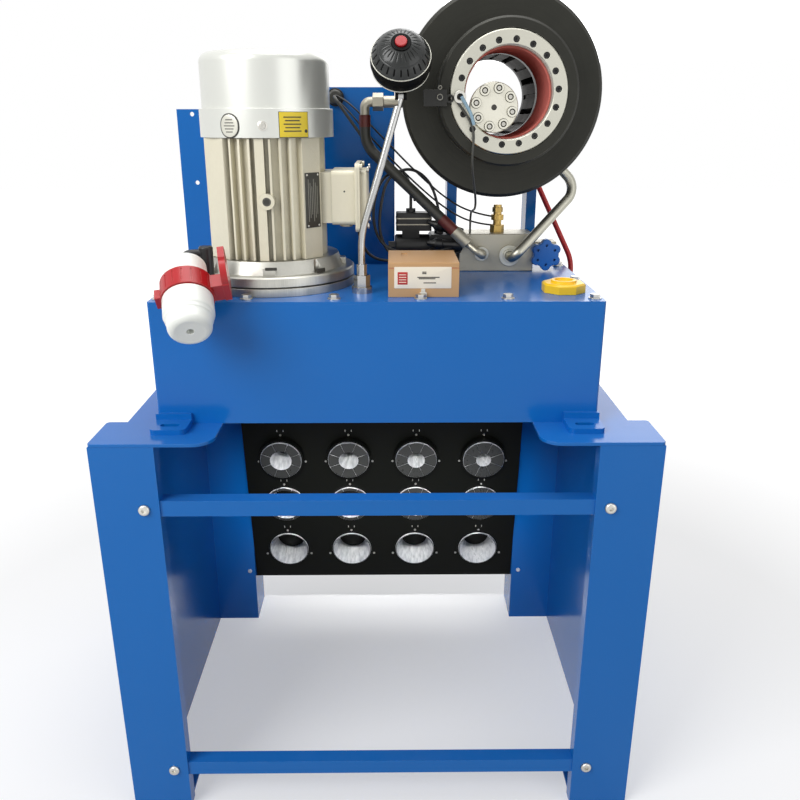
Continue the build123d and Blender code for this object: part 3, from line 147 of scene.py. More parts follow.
aim = Vector((0, 0, 0.6))
for lampName, lamp in lampSet.items():
    data = bpy.data.lights.new(lampName, "AREA")
    data.size = lamp["size"]
    data.energy = lamp["power"]
    if "high" in lamp:
        data.shape, data.size_y, data.spread = "RECTANGLE", lamp["high"], math.radians(lamp["spread"])
    lampObject = bpy.data.objects.new(lampName, data)
    scene.collection.objects.link(lampObject)
    lampObject.location = lamp["place"]
    lampObject.visible_camera = "high" not in lamp
    toward = Vector(lamp.get("aim", aim)) - Vector(lamp["place"])
    lampObject.rotation_euler = toward.to_track_quat("-Z", "Y").to_euler()

world = bpy.data.worlds.new("studio")
scene.world = world
world.use_nodes = True
worldTree = world.node_tree
worldTree.nodes.clear()
lit, seen = (worldTree.nodes.new("ShaderNodeBackground") for _ in range(2))
for background, strength in ((lit, worldSet["light"]), (seen, 1.0)):
    background.inputs["Color"].default_value = (1, 1, 1, 1)
    background.inputs["Strength"].default_value = strength
mixWorld = worldTree.nodes.new("ShaderNodeMixShader")
worldOut = worldTree.nodes.new("ShaderNodeOutputWorld")
for place, socket in enumerate((seenDirectly(worldTree), lit.outputs[0], seen.outputs[0])):
    worldTree.links.new(socket, mixWorld.inputs[place])
worldTree.links.new(mixWorld.outputs[0], worldOut.inputs[0])

floorMaterial = bpy.data.materials.new("studioFloor")
floorMaterial.use_nodes = True
floorTree = floorMaterial.node_tree
floorTree.nodes.clear()
floorShade = floorTree.nodes.new("ShaderNodeBsdfDiffuse")
floorShade.inputs["Color"].default_value = (floorSet["grey"],) * 3 + (1,)
reach = floorTree.nodes.new("ShaderNodeVectorMath")
reach.operation = "LENGTH"
floorTree.links.new(floorTree.nodes.new("ShaderNodeTexCoord").outputs["Object"], reach.inputs[0])
fade = rangeNode(floorTree, reach.outputs["Value"], floorSet["fadeFrom"], floorSet["fadeTo"],
                 floorSet["glow"], 1.0)
floorGlow = floorTree.nodes.new("ShaderNodeEmission")
floorTree.links.new(mathNode(floorTree, "MULTIPLY", seenDirectly(floorTree), fade),
                    floorGlow.inputs["Strength"])
floorSum = floorTree.nodes.new("ShaderNodeAddShader")
floorOut = floorTree.nodes.new("ShaderNodeOutputMaterial")
floorTree.links.new(floorShade.outputs[0], floorSum.inputs[0])
floorTree.links.new(floorGlow.outputs[0], floorSum.inputs[1])
floorTree.links.new(floorSum.outputs[0], floorOut.inputs[0])

half = floorSet["size"] / 2
floorMesh = bpy.data.meshes.new("floor")
floorMesh.from_pydata([(-half, -half, 0), (half, -half, 0), (half, half, 0), (-half, half, 0)], [],
                      [(0, 1, 2, 3)])
floor = bpy.data.objects.new("floor", floorMesh)
scene.collection.objects.link(floor)
floorMesh.materials.append(floorMaterial)
print("camera, lamps and floor made")


# edge wear: where the rounded normal leaves the true one, broken up by noise
edgeGroup, edgeIn, edgeOut = newGroup(
    "edgeWear",
    [("Vector", "NodeSocketVector", None), ("Radius", "NodeSocketFloat", 0.0015),
     ("Breakup", "NodeSocketFloat", 90.0), ("Amount", "NodeSocketFloat", 0.6)],
    [("Mask", "NodeSocketFloat")])
rounded = edgeGroup.nodes.new("ShaderNodeBevel")
rounded.samples = 4
edgeGroup.links.new(edgeIn.outputs["Radius"], rounded.inputs["Radius"])
trueNormal = edgeGroup.nodes.new("ShaderNodeNewGeometry")
dot = edgeGroup.nodes.new("ShaderNodeVectorMath")
dot.operation = "DOT_PRODUCT"
edgeGroup.links.new(rounded.outputs[0], dot.inputs[0])
edgeGroup.links.new(trueNormal.outputs["Normal"], dot.inputs[1])
turned = rangeNode(edgeGroup, dot.outputs["Value"], 0.97, 0.80)
edgeNoise = noiseNode(edgeGroup, edgeIn.outputs["Vector"], edgeIn.outputs["Breakup"])
spots = rangeNode(edgeGroup, edgeNoise, 0.42, 0.62)
worn = mathNode(edgeGroup, "MULTIPLY", mathNode(edgeGroup, "MULTIPLY", turned, spots),
                edgeIn.outputs["Amount"], clamp=True)
edgeGroup.links.new(worn, edgeOut.inputs["Mask"])

# dust: settles on what faces up, thicker in patches
dustGroup, dustIn, dustOut = newGroup(
    "dust",
    [("Vector", "NodeSocketVector", None), ("Patches", "NodeSocketFloat", 9.0),
     ("Amount", "NodeSocketFloat", 0.2)],
    [("Mask", "NodeSocketFloat")])
facing = dustGroup.nodes.new("ShaderNodeNewGeometry")
split = dustGroup.nodes.new("ShaderNodeSeparateXYZ")
dustGroup.links.new(facing.outputs["Normal"], split.inputs[0])
upward = rangeNode(dustGroup, split.outputs["Z"], 0.35, 1.0)
dustNoise = noiseNode(dustGroup, dustIn.outputs["Vector"], dustIn.outputs["Patches"], 6, 0.65)
patches = rangeNode(dustGroup, dustNoise, 0.3, 0.75, 0.25, 1.0)
settled = mathNode(dustGroup, "MULTIPLY", mathNode(dustGroup, "MULTIPLY", upward, patches),
                   dustIn.outputs["Amount"], clamp=True)
dustGroup.links.new(settled, dustOut.inputs["Mask"])

# cavity shade: painted shade in narrow gaps and inner corners, where little light gets in
cavityGroup, cavityIn, cavityOut = newGroup(
    "cavityShade",
    [("Vector", "NodeSocketVector", None), ("Reach", "NodeSocketFloat", 0.012),
     ("Amount", "NodeSocketFloat", 0.6)],
    [("Mask", "NodeSocketFloat")])
closeness = cavityGroup.nodes.new("ShaderNodeAmbientOcclusion")
closeness.samples = 6
cavityGroup.links.new(cavityGroup.nodes.new("ShaderNodeNewGeometry").outputs["True Normal"],
                      closeness.inputs["Normal"])
cavityGroup.links.new(cavityIn.outputs["Reach"], closeness.inputs["Distance"])
hidden = rangeNode(cavityGroup, closeness.outputs["AO"], 0.72, 0.25)
uneven = rangeNode(cavityGroup, noiseNode(cavityGroup, cavityIn.outputs["Vector"], 40.0), 0.2, 0.7, 0.7, 1.0)
paintedCavityShade = mathNode(cavityGroup, "MULTIPLY", mathNode(cavityGroup, "MULTIPLY", hidden, uneven),
                 cavityIn.outputs["Amount"], clamp=True)
cavityGroup.links.new(paintedCavityShade, cavityOut.inputs["Mask"])

# grain: fine bumps of a cast, moulded or sprayed skin, with a slower swell under them
grainGroup, grainIn, grainOut = newGroup(
    "grain",
    [("Vector", "NodeSocketVector", None), ("Fine", "NodeSocketFloat", 900.0),
     ("Swell", "NodeSocketFloat", 60.0)],
    [("Height", "NodeSocketFloat"), ("Tone", "NodeSocketFloat")])
fine = noiseNode(grainGroup, grainIn.outputs["Vector"], grainIn.outputs["Fine"], 2, 0.5)
swell = noiseNode(grainGroup, grainIn.outputs["Vector"], grainIn.outputs["Swell"], 3, 0.5)
height = mathNode(grainGroup, "ADD", mathNode(grainGroup, "MULTIPLY", fine, 0.45), swell)
grainGroup.links.new(height, grainOut.inputs["Height"])
grainGroup.links.new(swell, grainOut.inputs["Tone"])

# tool marks: fine lines round an axis (turned work) or along one direction (drawn or brushed work)
marksGroup, marksIn, marksOut = newGroup(
    "toolMarks",
    [("Vector", "NodeSocketVector", None), ("Squash", "NodeSocketVector", (1.0, 1.0, 0.02)),
     ("Density", "NodeSocketFloat", 1400.0), ("Turned", "NodeSocketFloat", 0.0)],
    [("Height", "NodeSocketFloat"), ("Tone", "NodeSocketFloat")])
squash = marksGroup.nodes.new("ShaderNodeVectorMath")
squash.operation = "MULTIPLY"
marksGroup.links.new(marksIn.outputs["Vector"], squash.inputs[0])
marksGroup.links.new(marksIn.outputs["Squash"], squash.inputs[1])
straight = noiseNode(marksGroup, squash.outputs[0], marksIn.outputs["Density"], 3, 0.6)
axisSplit = marksGroup.nodes.new("ShaderNodeSeparateXYZ")
marksGroup.links.new(marksIn.outputs["Vector"], axisSplit.inputs[0])
radius = mathNode(marksGroup, "SQRT", mathNode(
    marksGroup, "ADD",
    mathNode(marksGroup, "POWER", axisSplit.outputs["X"], 2.0),
    mathNode(marksGroup, "POWER", axisSplit.outputs["Z"], 2.0)))
turnedPlace = marksGroup.nodes.new("ShaderNodeCombineXYZ")
marksGroup.links.new(radius, turnedPlace.inputs["X"])
marksGroup.links.new(axisSplit.outputs["Y"], turnedPlace.inputs["Y"])
lathe = noiseNode(marksGroup, turnedPlace.outputs[0], marksIn.outputs["Density"], 3, 0.6)
choose = marksGroup.nodes.new("ShaderNodeMix")
marksGroup.links.new(marksIn.outputs["Turned"], choose.inputs[0])
marksGroup.links.new(straight, choose.inputs[2])
marksGroup.links.new(lathe, choose.inputs[3])
marksGroup.links.new(choose.outputs[0], marksOut.inputs["Height"])
marksGroup.links.new(choose.outputs[0], marksOut.inputs["Tone"])
print("shader groups made")


def rgba(colour):
    return (*colour, 1.0)


# a mix of two colours; factor, a and b are sockets, numbers or colours
def colourMix(tree, factor, a, b):
    node = tree.nodes.new("ShaderNodeMix")
    node.data_type = "RGBA"
    for place, value in ((0, factor), (6, a), (7, b)):
        if isinstance(value, (int, float)):
            node.inputs[place].default_value = value
        elif isinstance(value, tuple):
            node.inputs[place].default_value = rgba(value)
        else:
            tree.links.new(value, node.inputs[place])
    return node.outputs[2]


def useGroup(tree, group, vector, **values):
    node = tree.nodes.new("ShaderNodeGroup")
    node.node_tree = group
    tree.links.new(vector, node.inputs["Vector"])
    for label, value in values.items():
        node.inputs[label].default_value = value
    return node


# a Principled finish with tone, lines, painted cavity shade, dust, edge wear and bumps; the lathe lines turn about
# centre
def finish(name, colour, roughness=0.4, metallic=0.0, coat=0.0, coatRoughness=0.1, specular=0.5,
           tone=0.0, toneColour=None, wear=0.0, wearColour=(0.5, 0.5, 0.5), wearRadius=0.0012, wearMetal=0.0,
           dust=0.0, dustColour=(0.55, 0.52, 0.47), grain=0.0, fine=900.0, swell=60.0,
           marks=0.0, squash=(1.0, 1.0, 0.02), density=1400.0, turned=0.0, centre=(0, 0, 0),
           markTone=0.35, roughSpread=0.0, faceWay=None, faceColour=(0.05, 0.05, 0.05), cavityShade=0.0):
    material = bpy.data.materials.new(name)
    material.use_nodes = True
    tree = material.node_tree
    tree.nodes.clear()
    out = tree.nodes.new("ShaderNodeOutputMaterial")
    shader = tree.nodes.new("ShaderNodeBsdfPrincipled")
    tree.links.new(shader.outputs[0], out.inputs[0])
    shader.inputs["Roughness"].default_value = roughness
    shader.inputs["Metallic"].default_value = metallic
    shader.inputs["Coat Weight"].default_value = coat
    shader.inputs["Coat Roughness"].default_value = coatRoughness
    shader.inputs["Specular IOR Level"].default_value = specular
    place = tree.nodes.new("ShaderNodeTexCoord")
    mapping = tree.nodes.new("ShaderNodeMapping")
    mapping.inputs["Location"].default_value = tuple(-c for c in centre)
    tree.links.new(place.outputs["Object"], mapping.inputs["Vector"])
    vector = mapping.outputs["Vector"]
    skin = useGroup(tree, grainGroup, vector, Fine=fine, Swell=swell)
    darker = toneColour or tuple(c * 0.7 for c in colour)
    broad = rangeNode(tree, noiseNode(tree, vector, 7.0, 5, 0.6), 0.35, 0.7)
    mixed = mathNode(tree, "MULTIPLY", mathNode(tree, "ADD", mathNode(tree, "MULTIPLY", broad, 0.6),
                                                 mathNode(tree, "MULTIPLY", skin.outputs["Tone"], 0.4)), tone)
    colourOut = colourMix(tree, mixed, colour, darker)
    rough = mathNode(tree, "ADD", mathNode(tree, "MULTIPLY", broad, roughSpread), roughness)
    heights = []
    if grain:
        heights.append((skin.outputs["Height"], grain))
    if marks:
        lines = useGroup(tree, marksGroup, vector, Squash=squash, Density=density, Turned=turned)
        heights.append((lines.outputs["Height"], marks))
        lineTone = rangeNode(tree, lines.outputs["Tone"], 0.3, 0.7)
        colourOut = colourMix(tree, mathNode(tree, "MULTIPLY", lineTone, markTone), colourOut, darker)
        rough = mathNode(tree, "ADD", rough, mathNode(tree, "MULTIPLY", lineTone, 0.08))
    # painted shade: cavities darken towards an eighth of the colour
    if cavityShade:
        colourOut = colourMix(tree, useGroup(tree, cavityGroup, vector, Amount=cavityShade).outputs["Mask"],
                              colourOut, tuple(c * 0.12 for c in colour))
    if dust:
        settledOn = useGroup(tree, dustGroup, vector, Amount=dust)
        colourOut = colourMix(tree, settledOn.outputs["Mask"], colourOut, dustColour)
        rough = mathNode(tree, "ADD", rough, mathNode(tree, "MULTIPLY", settledOn.outputs["Mask"], 0.35))
    if wear:
        rubbed = useGroup(tree, edgeGroup, vector, Radius=wearRadius, Amount=wear)
        colourOut = colourMix(tree, rubbed.outputs["Mask"], colourOut, wearColour)
        if wearMetal:
            metal = mathNode(tree, "ADD", mathNode(tree, "MULTIPLY", rubbed.outputs["Mask"], wearMetal),
                             metallic, clamp=True)
            tree.links.new(metal, shader.inputs["Metallic"])
    # on the die steel this paints the faces dark while the bores keep a near-white base that stands in for their
    # bright reflections
    if faceWay:     # surfaces that look this way have another colour, and are not bare metal
        facing = tree.nodes.new("ShaderNodeNewGeometry")
        toFace = tree.nodes.new("ShaderNodeVectorMath")
        toFace.operation = "DOT_PRODUCT"
        toFace.inputs[1].default_value = faceWay
        tree.links.new(facing.outputs["True Normal"], toFace.inputs[0])
        onFace = rangeNode(tree, toFace.outputs["Value"], 0.60, 0.80)
        colourOut = colourMix(tree, onFace, colourOut, faceColour)
        tree.links.new(rangeNode(tree, onFace, 0.0, 1.0, metallic, metallic * 0.5), shader.inputs["Metallic"])
    tree.links.new(colourOut, shader.inputs["Base Color"])
    if roughSpread or marks or dust:
        tree.links.new(mathNode(tree, "MINIMUM", rough, 0.95), shader.inputs["Roughness"])
    normal = None
    for height, amount in heights:
        bump = tree.nodes.new("ShaderNodeBump")
        bump.inputs["Strength"].default_value = 1.0
        bump.inputs["Distance"].default_value = amount
        tree.links.new(height, bump.inputs["Height"])
        if normal is not None:
            tree.links.new(normal, bump.inputs["Normal"])
        normal = bump.outputs["Normal"]
    if normal is not None:
        tree.links.new(normal, shader.inputs["Normal"])
    return material


headAxis = (headX, 0, headZ)
rackFacing = (0.0, -math.cos(math.radians(9)), -math.sin(math.radians(9)))
finishes = {
    "blue": finish("blueEnamel", (0.0040, 0.150, 0.52), 0.16, specular=0.26, tone=0.22,
                   toneColour=(0.005, 0.125, 0.45), wear=0.30, wearColour=(0.12, 0.28, 0.6), dust=0.04,
                   grain=0.00005, fine=420, swell=120, roughSpread=0.06),
    "star_blue": finish("starBlue", (0.010, 0.13, 0.46), 0.30, tone=0.3, wear=0.4,
                        wearColour=(0.2, 0.35, 0.6), grain=0.0001),
    "zinc": finish("zincPlate", (0.62, 0.61, 0.57), 0.26, 1.0, tone=0.5, toneColour=(0.42, 0.40, 0.34),
                   wear=0.4, wearColour=(0.85, 0.84, 0.8), grain=0.00008, roughSpread=0.12),
    "rack_black": finish("rackBlack", (0.0035, 0.0040, 0.0028), 0.42, specular=0.12, tone=0.4,
                         wear=0.5, wearColour=(0.06, 0.06, 0.055), grain=0.0001, roughSpread=0.12),
    # die steel: the near-white base is painted sheen for the bright reflections in the bores; faces looking along
    # rackFacing get the dark faceColour
    "die_steel": finish("dieSteelPaintedSheen", (1.0, 1.0, 0.99), 0.24, 0.35, tone=0.2, toneColour=(0.36, 0.37, 0.38),
                        wear=0.12, wearColour=(0.5, 0.5, 0.49), marks=0.00002, density=190,
                        squash=(1.0, 0.10, 0.6), markTone=0.7, roughSpread=0.1, faceWay=rackFacing,
                        faceColour=(0.034, 0.035, 0.032)),
    # the motor's cast body gets painted cavity shade between its fins
    "motor_grey": finish("motorCast", (0.84, 0.79, 0.62), 0.34, 0.15, tone=0.45,
                         toneColour=(0.62, 0.58, 0.44), cavityShade=0.7, wear=0.4, wearColour=(0.85, 0.84, 0.75),
                         dust=0.05, grain=0.00035, fine=520, swell=140, roughSpread=0.1),
    "cowl_silver": finish("cowlSilver", (0.74, 0.75, 0.70), 0.30, 0.5, tone=0.2, toneColour=(0.66, 0.66, 0.6),
                          wear=0.4, wearColour=(0.85, 0.85, 0.8), dust=0.05, grain=0.00006, fine=1200,
                          swell=90),
    "head_black": finish("headBlack", (0.032, 0.032, 0.025), 0.33, 0.45, specular=0.35, tone=0.7,
                         toneColour=(0.016, 0.016, 0.013), wear=0.7, wearColour=(0.26, 0.25, 0.21), dust=0.03,
                         grain=0.00010, fine=350, marks=0.00003, turned=1.0, density=420, centre=headAxis,
                         roughSpread=0.16),
    "bore_red": finish("boreRed", (0.57, 0.165, 0.140), 1.0, specular=0.0, tone=0.6,
                       toneColour=(0.44, 0.090, 0.075), wear=0.6, wearColour=(0.5, 0.25, 0.2), grain=0.0002,
                       roughSpread=0.15),
    "ground_steel": finish("groundSteel", (0.57, 0.565, 0.49), 0.26, 1.0, tone=0.35,
                           toneColour=(0.50, 0.48, 0.41), wear=0.6, wearColour=(0.9, 0.88, 0.82),
                           marks=0.00004, turned=1.0, density=900, centre=headAxis, roughSpread=0.14),
    "shoe_steel": finish("shoeSteel", (0.10, 0.09, 0.075), 0.55, 0.25, specular=0.15, tone=0.9,
                         toneColour=(0.02, 0.018, 0.015), wear=0.8, wearColour=(0.7, 0.68, 0.6),
                         marks=0.00003, squash=(1.0, 0.05, 1.0), density=900, roughSpread=0.2),
    "screw_black": finish("screwBlack", (0.012, 0.012, 0.012), 0.35, 0.3, wear=0.7,
                          wearColour=(0.3, 0.3, 0.28)),
    "valve_silver": finish("valveSilver", (0.50, 0.47, 0.38), 0.36, 0.65, tone=0.5,
                           toneColour=(0.36, 0.34, 0.27), wear=0.7, wearColour=(0.75, 0.74, 0.7),
                           grain=0.00025, roughSpread=0.15),
    "coil_black": finish("coilBlack", (0.010, 0.010, 0.010), 0.36, tone=0.3, wear=0.5,
                         wearColour=(0.06, 0.06, 0.06), grain=0.0001, roughSpread=0.1),
    "brass": finish("brass", (0.60, 0.42, 0.14), 0.26, 1.0, tone=0.5, toneColour=(0.38, 0.24, 0.07), wear=0.5,
                    wearColour=(0.85, 0.68, 0.36), marks=0.00002, roughSpread=0.15),
    "pipe_steel": finish("pipeSteel", (0.46, 0.45, 0.38), 0.28, 1.0, tone=0.4, toneColour=(0.30, 0.29, 0.24),
                         marks=0.00002, roughSpread=0.12),
    "hose_rubber": finish("hoseRubber", (0.050, 0.050, 0.042), 0.36, tone=0.4, grain=0.0002, fine=1200,
                          wear=0.3, wearColour=(0.08, 0.08, 0.07), roughSpread=0.12),
    "hose_red": finish("hoseRed", (0.56, 0.010, 0.008), 0.32, tone=0.3, toneColour=(0.42, 0.006, 0.006)),
    "box_tan": finish("boxTan", (0.60, 0.35, 0.16), 0.45, tone=0.3, wear=0.5,
                      wearColour=(0.66, 0.45, 0.25), grain=0.0002),
    "cap_yellow": finish("capYellow", (1.0, 0.62, 0.018), 0.30, tone=0.2,
                         toneColour=(0.86, 0.46, 0.012), wear=0.5, wearColour=(0.95, 0.68, 0.15)),
    "lamp_black": finish("lampBlack", (0.010, 0.012, 0.011), 0.34, specular=0.3, coat=0.35,
                         coatRoughness=0.10, tone=0.3, wear=0.6, wearColour=(0.08, 0.08, 0.08)),
    "signal_red": finish("signalRed", (0.46, 0.010, 0.014), 0.30, tone=0.35, toneColour=(0.30, 0.005, 0.008),
                         wear=0.5, wearColour=(0.65, 0.2, 0.16)),
    "plug_white": finish("plugWhite", (0.93, 0.95, 0.90), 0.28, specular=0.5, tone=0.12,
                         toneColour=(0.82, 0.83, 0.78), grain=0.0001),
    "lamp_foot": finish("lampFoot", (0.0035, 0.0035, 0.0035), 0.5, specular=0.08, tone=0.3),
    "bracket_black": finish("bracketBlack", (0.016, 0.016, 0.014), 0.38, 0.3, tone=0.4, wear=0.9,
                            wearColour=(0.22, 0.21, 0.18), wearRadius=0.0008),
    "flange_steel": finish("flangeSteel", (0.62, 0.61, 0.55), 0.27, 1.0, tone=0.7,
                           toneColour=(0.26, 0.255, 0.23), wear=0.7, wearColour=(0.95, 0.94, 0.88),
                           marks=0.00003, roughSpread=0.15),
    "tool_steel": finish("toolSteel", (0.78, 0.76, 0.66), 0.32, 0.85, tone=0.5, toneColour=(0.55, 0.53, 0.45),
                         wear=0.5, wearColour=(0.95, 0.94, 0.88), roughSpread=0.12),
    "stem_chrome": finish("stemChrome", (0.46, 0.46, 0.45), 0.16, 1.0, tone=0.4,
                          toneColour=(0.30, 0.30, 0.29), roughSpread=0.10),
    "wire_blue": finish("wireBlue", (0.30, 0.45, 0.55), 0.35, tone=0.4, toneColour=(0.12, 0.22, 0.32)),
    "label_yellow": finish("labelYellow", (0.95, 0.72, 0.04), 0.4, tone=0.2, toneColour=(0.7, 0.5, 0.03)),
    "label_cream": finish("labelCream", (0.95, 0.86, 0.70), 0.5, tone=0.15, toneColour=(0.86, 0.77, 0.61)),
    "badge_pale": finish("badgePale", (0.72, 0.71, 0.62), 0.3, 0.4, tone=0.3, toneColour=(0.5, 0.49, 0.43)),
    "plate_dark": finish("plateDark", (0.035, 0.034, 0.03), 0.32, 0.4, tone=0.6,
                         toneColour=(0.10, 0.10, 0.085), wear=0.6, wearColour=(0.4, 0.39, 0.33)),
    # dark for printed rules and lines, and for painted shade in slots, holes and screw seats
    "print_and_shade_dark": finish("printAndShadeDark", (0.03, 0.028, 0.022), 0.5, tone=0.3),
    "rule_red": finish("ruleRed", (0.50, 0.03, 0.025), 0.45, tone=0.25, toneColour=(0.38, 0.02, 0.02)),
    "rule_pale": finish("rulePale", (0.34, 0.33, 0.28), 0.4, 0.3, tone=0.5),
    "sleeve_red": finish("sleeveRed", (0.16, 0.028, 0.022), 0.42, tone=0.6, toneColour=(0.06, 0.02, 0.018)),
    "white_paint": finish("whitePaint", (0.80, 0.82, 0.84), 0.35, tone=0.2, toneColour=(0.6, 0.62, 0.65),
                          wear=0.5),
}
print("finishes made")


# CAD pieces keep their shape and get a finish and softened edges
softEdge = {"default": 0.0006, "stand_left_side": 0.0008, "stand_right_side": 0.0008, "motor_housing": 0.0010,
            "front_ring_screws": 0.0002, "cover_bolts": 0.0004, "stored_die_sets": 0.0002,
            "die_set_1": 0.0002, "die_set_2": 0.0002, "die_set_3": 0.0002, "die_set_4": 0.0002}

ownFinish = {"pump_unit": "flange_steel", "motor_flange": "flange_steel", "lamp_head": "lamp_foot",
             "switch_bracket": "bracket_black", "change_tool": "tool_steel", "solenoid_valve": "coil_black",
             "lamp_stem": "stem_chrome"}
slotOf = {entry["node"]: entry["material_slot"] for entry in frame["record"]["subparts"]}


# merges the loose triangles, joins flat ones, and rounds the sharp edges by width; the change tool's pierced
# face keeps its triangles
def soften(piece, width):
    weld = piece.modifiers.new("weld", "WELD")
    weld.merge_threshold = 0.000005
    if piece.name != "change_tool":
        flat = piece.modifiers.new("flat", "DECIMATE")
        flat.decimate_type = "DISSOLVE"
        flat.angle_limit = math.radians(0.6)
    bevel = piece.modifiers.new("round", "BEVEL")
    bevel.width = width
    bevel.segments = 2
    bevel.limit_method = "ANGLE"
    bevel.angle_limit = math.radians(32)
    bevel.use_clamp_overlap = True
    even = piece.modifiers.new("even", "WEIGHTED_NORMAL")
    even.keep_sharp = False
    even.weight = 50


for nodeName, piece in nodes.items():
    piece.data.materials.clear()
    finishName = "shoe_steel" if nodeName.startswith("shoe_") else ownFinish.get(nodeName, slotOf[nodeName])
    piece.data.materials.append(finishes[finishName])
    piece.data.polygons.foreach_set("use_smooth", np.ones(len(piece.data.polygons), dtype=bool))
    soften(piece, softEdge.get(nodeName, softEdge["default"]))
print("CAD pieces finished")


# places in metres: side from the middle, back from the stand's front, up from the floor
def spot(side, back, up):
    return np.array((side, standLow[1] + back, up))


# rounded rectangle, or a circle when its three sizes are equal, drawn in by inset; extra points let the
# straight sides bend
def roundedOutline(halfWide, halfHigh, corner, inset, count=8, extra=0):
    angles = (np.arange(4)[:, None] * math.pi / 2 + np.linspace(0, math.pi / 2, count)).ravel()
    bend = max(corner - inset, 0.00005)
    across = np.repeat((1, -1, -1, 1), count) * (halfWide - inset - bend) + bend * np.cos(angles)
    upward = np.repeat((1, 1, -1, -1), count) * (halfHigh - inset - bend) + bend * np.sin(angles)
    closed = np.stack((np.append(across, across[0]), np.append(upward, upward[0])), axis=1)
    between = [quarter * count - 1 + np.linspace(0, 1, extra + 2)[1:-1] for quarter in range(1, 5)]
    where = np.sort(np.concatenate((np.arange(4 * count), *between)))
    index = np.arange(4 * count + 1)
    return np.stack((np.interp(where, index, closed[:, 0]), np.interp(where, index, closed[:, 1])), axis=1)


# maps x, y and height to origin + x across + y upward + height along the normal
def flatPlace(origin, normal, across=(1, 0, 0)):
    out = np.array(normal, float)
    out /= np.linalg.norm(out)
    side = np.array(across, float) - np.dot(across, out) * out
    side /= np.linalg.norm(side)
    upward = np.cross(out, side)
    return lambda x, y, h: np.asarray(origin) + x[:, None] * side + y[:, None] * upward + h[:, None] * out


# maps x to arc length round an upright drum, y to height, and height to the radius
def drumPlace(axis, radius, angle, up):
    def place(x, y, h):
        turned = math.radians(angle) + x / radius
        reach = radius + h
        return np.stack((axis[0] + reach * np.cos(turned), axis[1] + reach * np.sin(turned), up + y), axis=1)
    return place


# quads between neighbouring rings of points, rows x turns, each ring closed on itself
def ringQuads(rows, turns, closedRows=False):
    row = np.arange(rows if closedRows else rows - 1)[:, None]
    here = np.arange(turns)[None, :]
    after, there = (row + 1) % rows, (here + 1) % turns
    corners = (row * turns + here, row * turns + there, after * turns + there, after * turns + here)
    return np.stack(np.broadcast_arrays(*corners), axis=-1).reshape(-1, 4)


# the outline at each (inset, height) of the profile, with both ends closed by a middle point
def carried(outline, profile, place):
    flats = [outline(inset) for inset, height in profile]
    rings = [place(flat[:, 0], flat[:, 1], np.full(len(flat), height))
             for flat, (inset, height) in zip(flats, profile)]
    ends = [place(flat[:, 0].mean(keepdims=True), flat[:, 1].mean(keepdims=True), np.array([height]))
            for flat, height in ((flats[0], profile[0][1]), (flats[-1], profile[-1][1]))]
    turns, total = len(flats[0]), len(flats) * len(flats[0])
    ring = np.arange(turns)
    after, last = (ring + 1) % turns, total - turns
    foot = np.stack((after, ring, np.full(turns, total)), axis=1)
    top = np.stack((last + ring, last + after, np.full(turns, total + 1)), axis=1)
    faces = ringQuads(len(flats), turns).tolist() + foot.tolist() + top.tolist()
    return np.concatenate(rings + ends), faces


# a plate with a softened rim, sunk a little into what carries it; bowed ones follow a drum
def slab(halfWide, halfHigh, corner, thick, place, soft=0.0004, sink=0.0003, bowed=False):
    rim = np.linspace(0, math.pi / 2, 4)
    profile = [(0.0, -sink)] + [(soft * (1 - math.cos(a)), thick - soft + soft * math.sin(a)) for a in rim]
    if bowed:
        profile += [(share * min(halfWide, halfHigh), thick) for share in (0.3, 0.6, 0.85)]
    return carried(lambda inset: roundedOutline(halfWide, halfHigh, corner, inset, 8, 8 if bowed else 0),
                   profile, place)


# a round piece: profile holds (radius, height) from its foot to the middle of its face
def turnedPiece(profile, place, count=10):
    widest = max(radius for radius, height in profile)
    return carried(lambda inset: roundedOutline(widest, widest, widest, inset, count),
                   [(widest - radius, height) for radius, height in profile], place)


# a flat ring with softened edges: up the outside, in over the top and down inside
def ringPiece(outer, inner, low, high, place, turns=96):
    soft = min(0.0004, (outer - inner) / 4, (high - low) / 3)
    profile = ((outer, low), (outer, high - soft), (outer - soft, high), (inner + soft, high),
               (inner, high - soft), (inner, low))
    wheel = np.arange(turns) / turns * 2 * math.pi
    points = [place(radius * np.cos(wheel), radius * np.sin(wheel), np.full(turns, height))
              for radius, height in profile]
    return np.concatenate(points), ringQuads(len(profile), turns, True).tolist()


# one mesh of all the parts, at the origin, that rides on a CAD body
def addPiece(name, parts, finishName, body="frame", sharp=35):
    points, faces, start = [], [], 0
    for partPoints, partFaces in parts:
        points.append(partPoints)
        faces += [[index + start for index in face] for face in partFaces]
        start += len(partPoints)
    mesh = bpy.data.meshes.new(name)
    mesh.from_pydata(np.concatenate(points).tolist(), [], faces)
    mesh.polygons.foreach_set("use_smooth", np.ones(len(mesh.polygons), dtype=bool))
    mesh.set_sharp_from_angle(angle=math.radians(sharp))
    mesh.materials.append(finishes[finishName])
    piece = bpy.data.objects.new(name, mesh)
    scene.collection.objects.link(piece)
    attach(piece, body)
    return piece


# a round tube on a smooth line through the run of control points
def addTube(name, points, radius, finishName, body="frame"):
    curve = bpy.data.curves.new(name, "CURVE")
    curve.dimensions = "3D"
    curve.bevel_depth = radius
    curve.bevel_resolution = 4
    curve.use_fill_caps = True
    curve.resolution_u = 10
    spline = curve.splines.new("NURBS")
    spline.points.add(len(points) - 1)
    for point, place in zip(spline.points, points):
        point.co = (*place, 1)
    spline.order_u = 3
    spline.use_endpoint_u = True
    curve.materials.append(finishes[finishName])
    piece = bpy.data.objects.new(name, curve)
    scene.collection.objects.link(piece)
    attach(piece, body)
    return piece


forward = (0, -1, 0)
screwFace = [(1.0, -0.06), (1.0, 0.30), (0.86, 0.52), (0.46, 0.56), (0.40, 0.30), (0.03, 0.28)]


# a small screw head with a socket, as shares of its radius
def screw(radius, place):
    return turnedPiece([(r * radius, h * radius) for r, h in screwFace], place, 6)
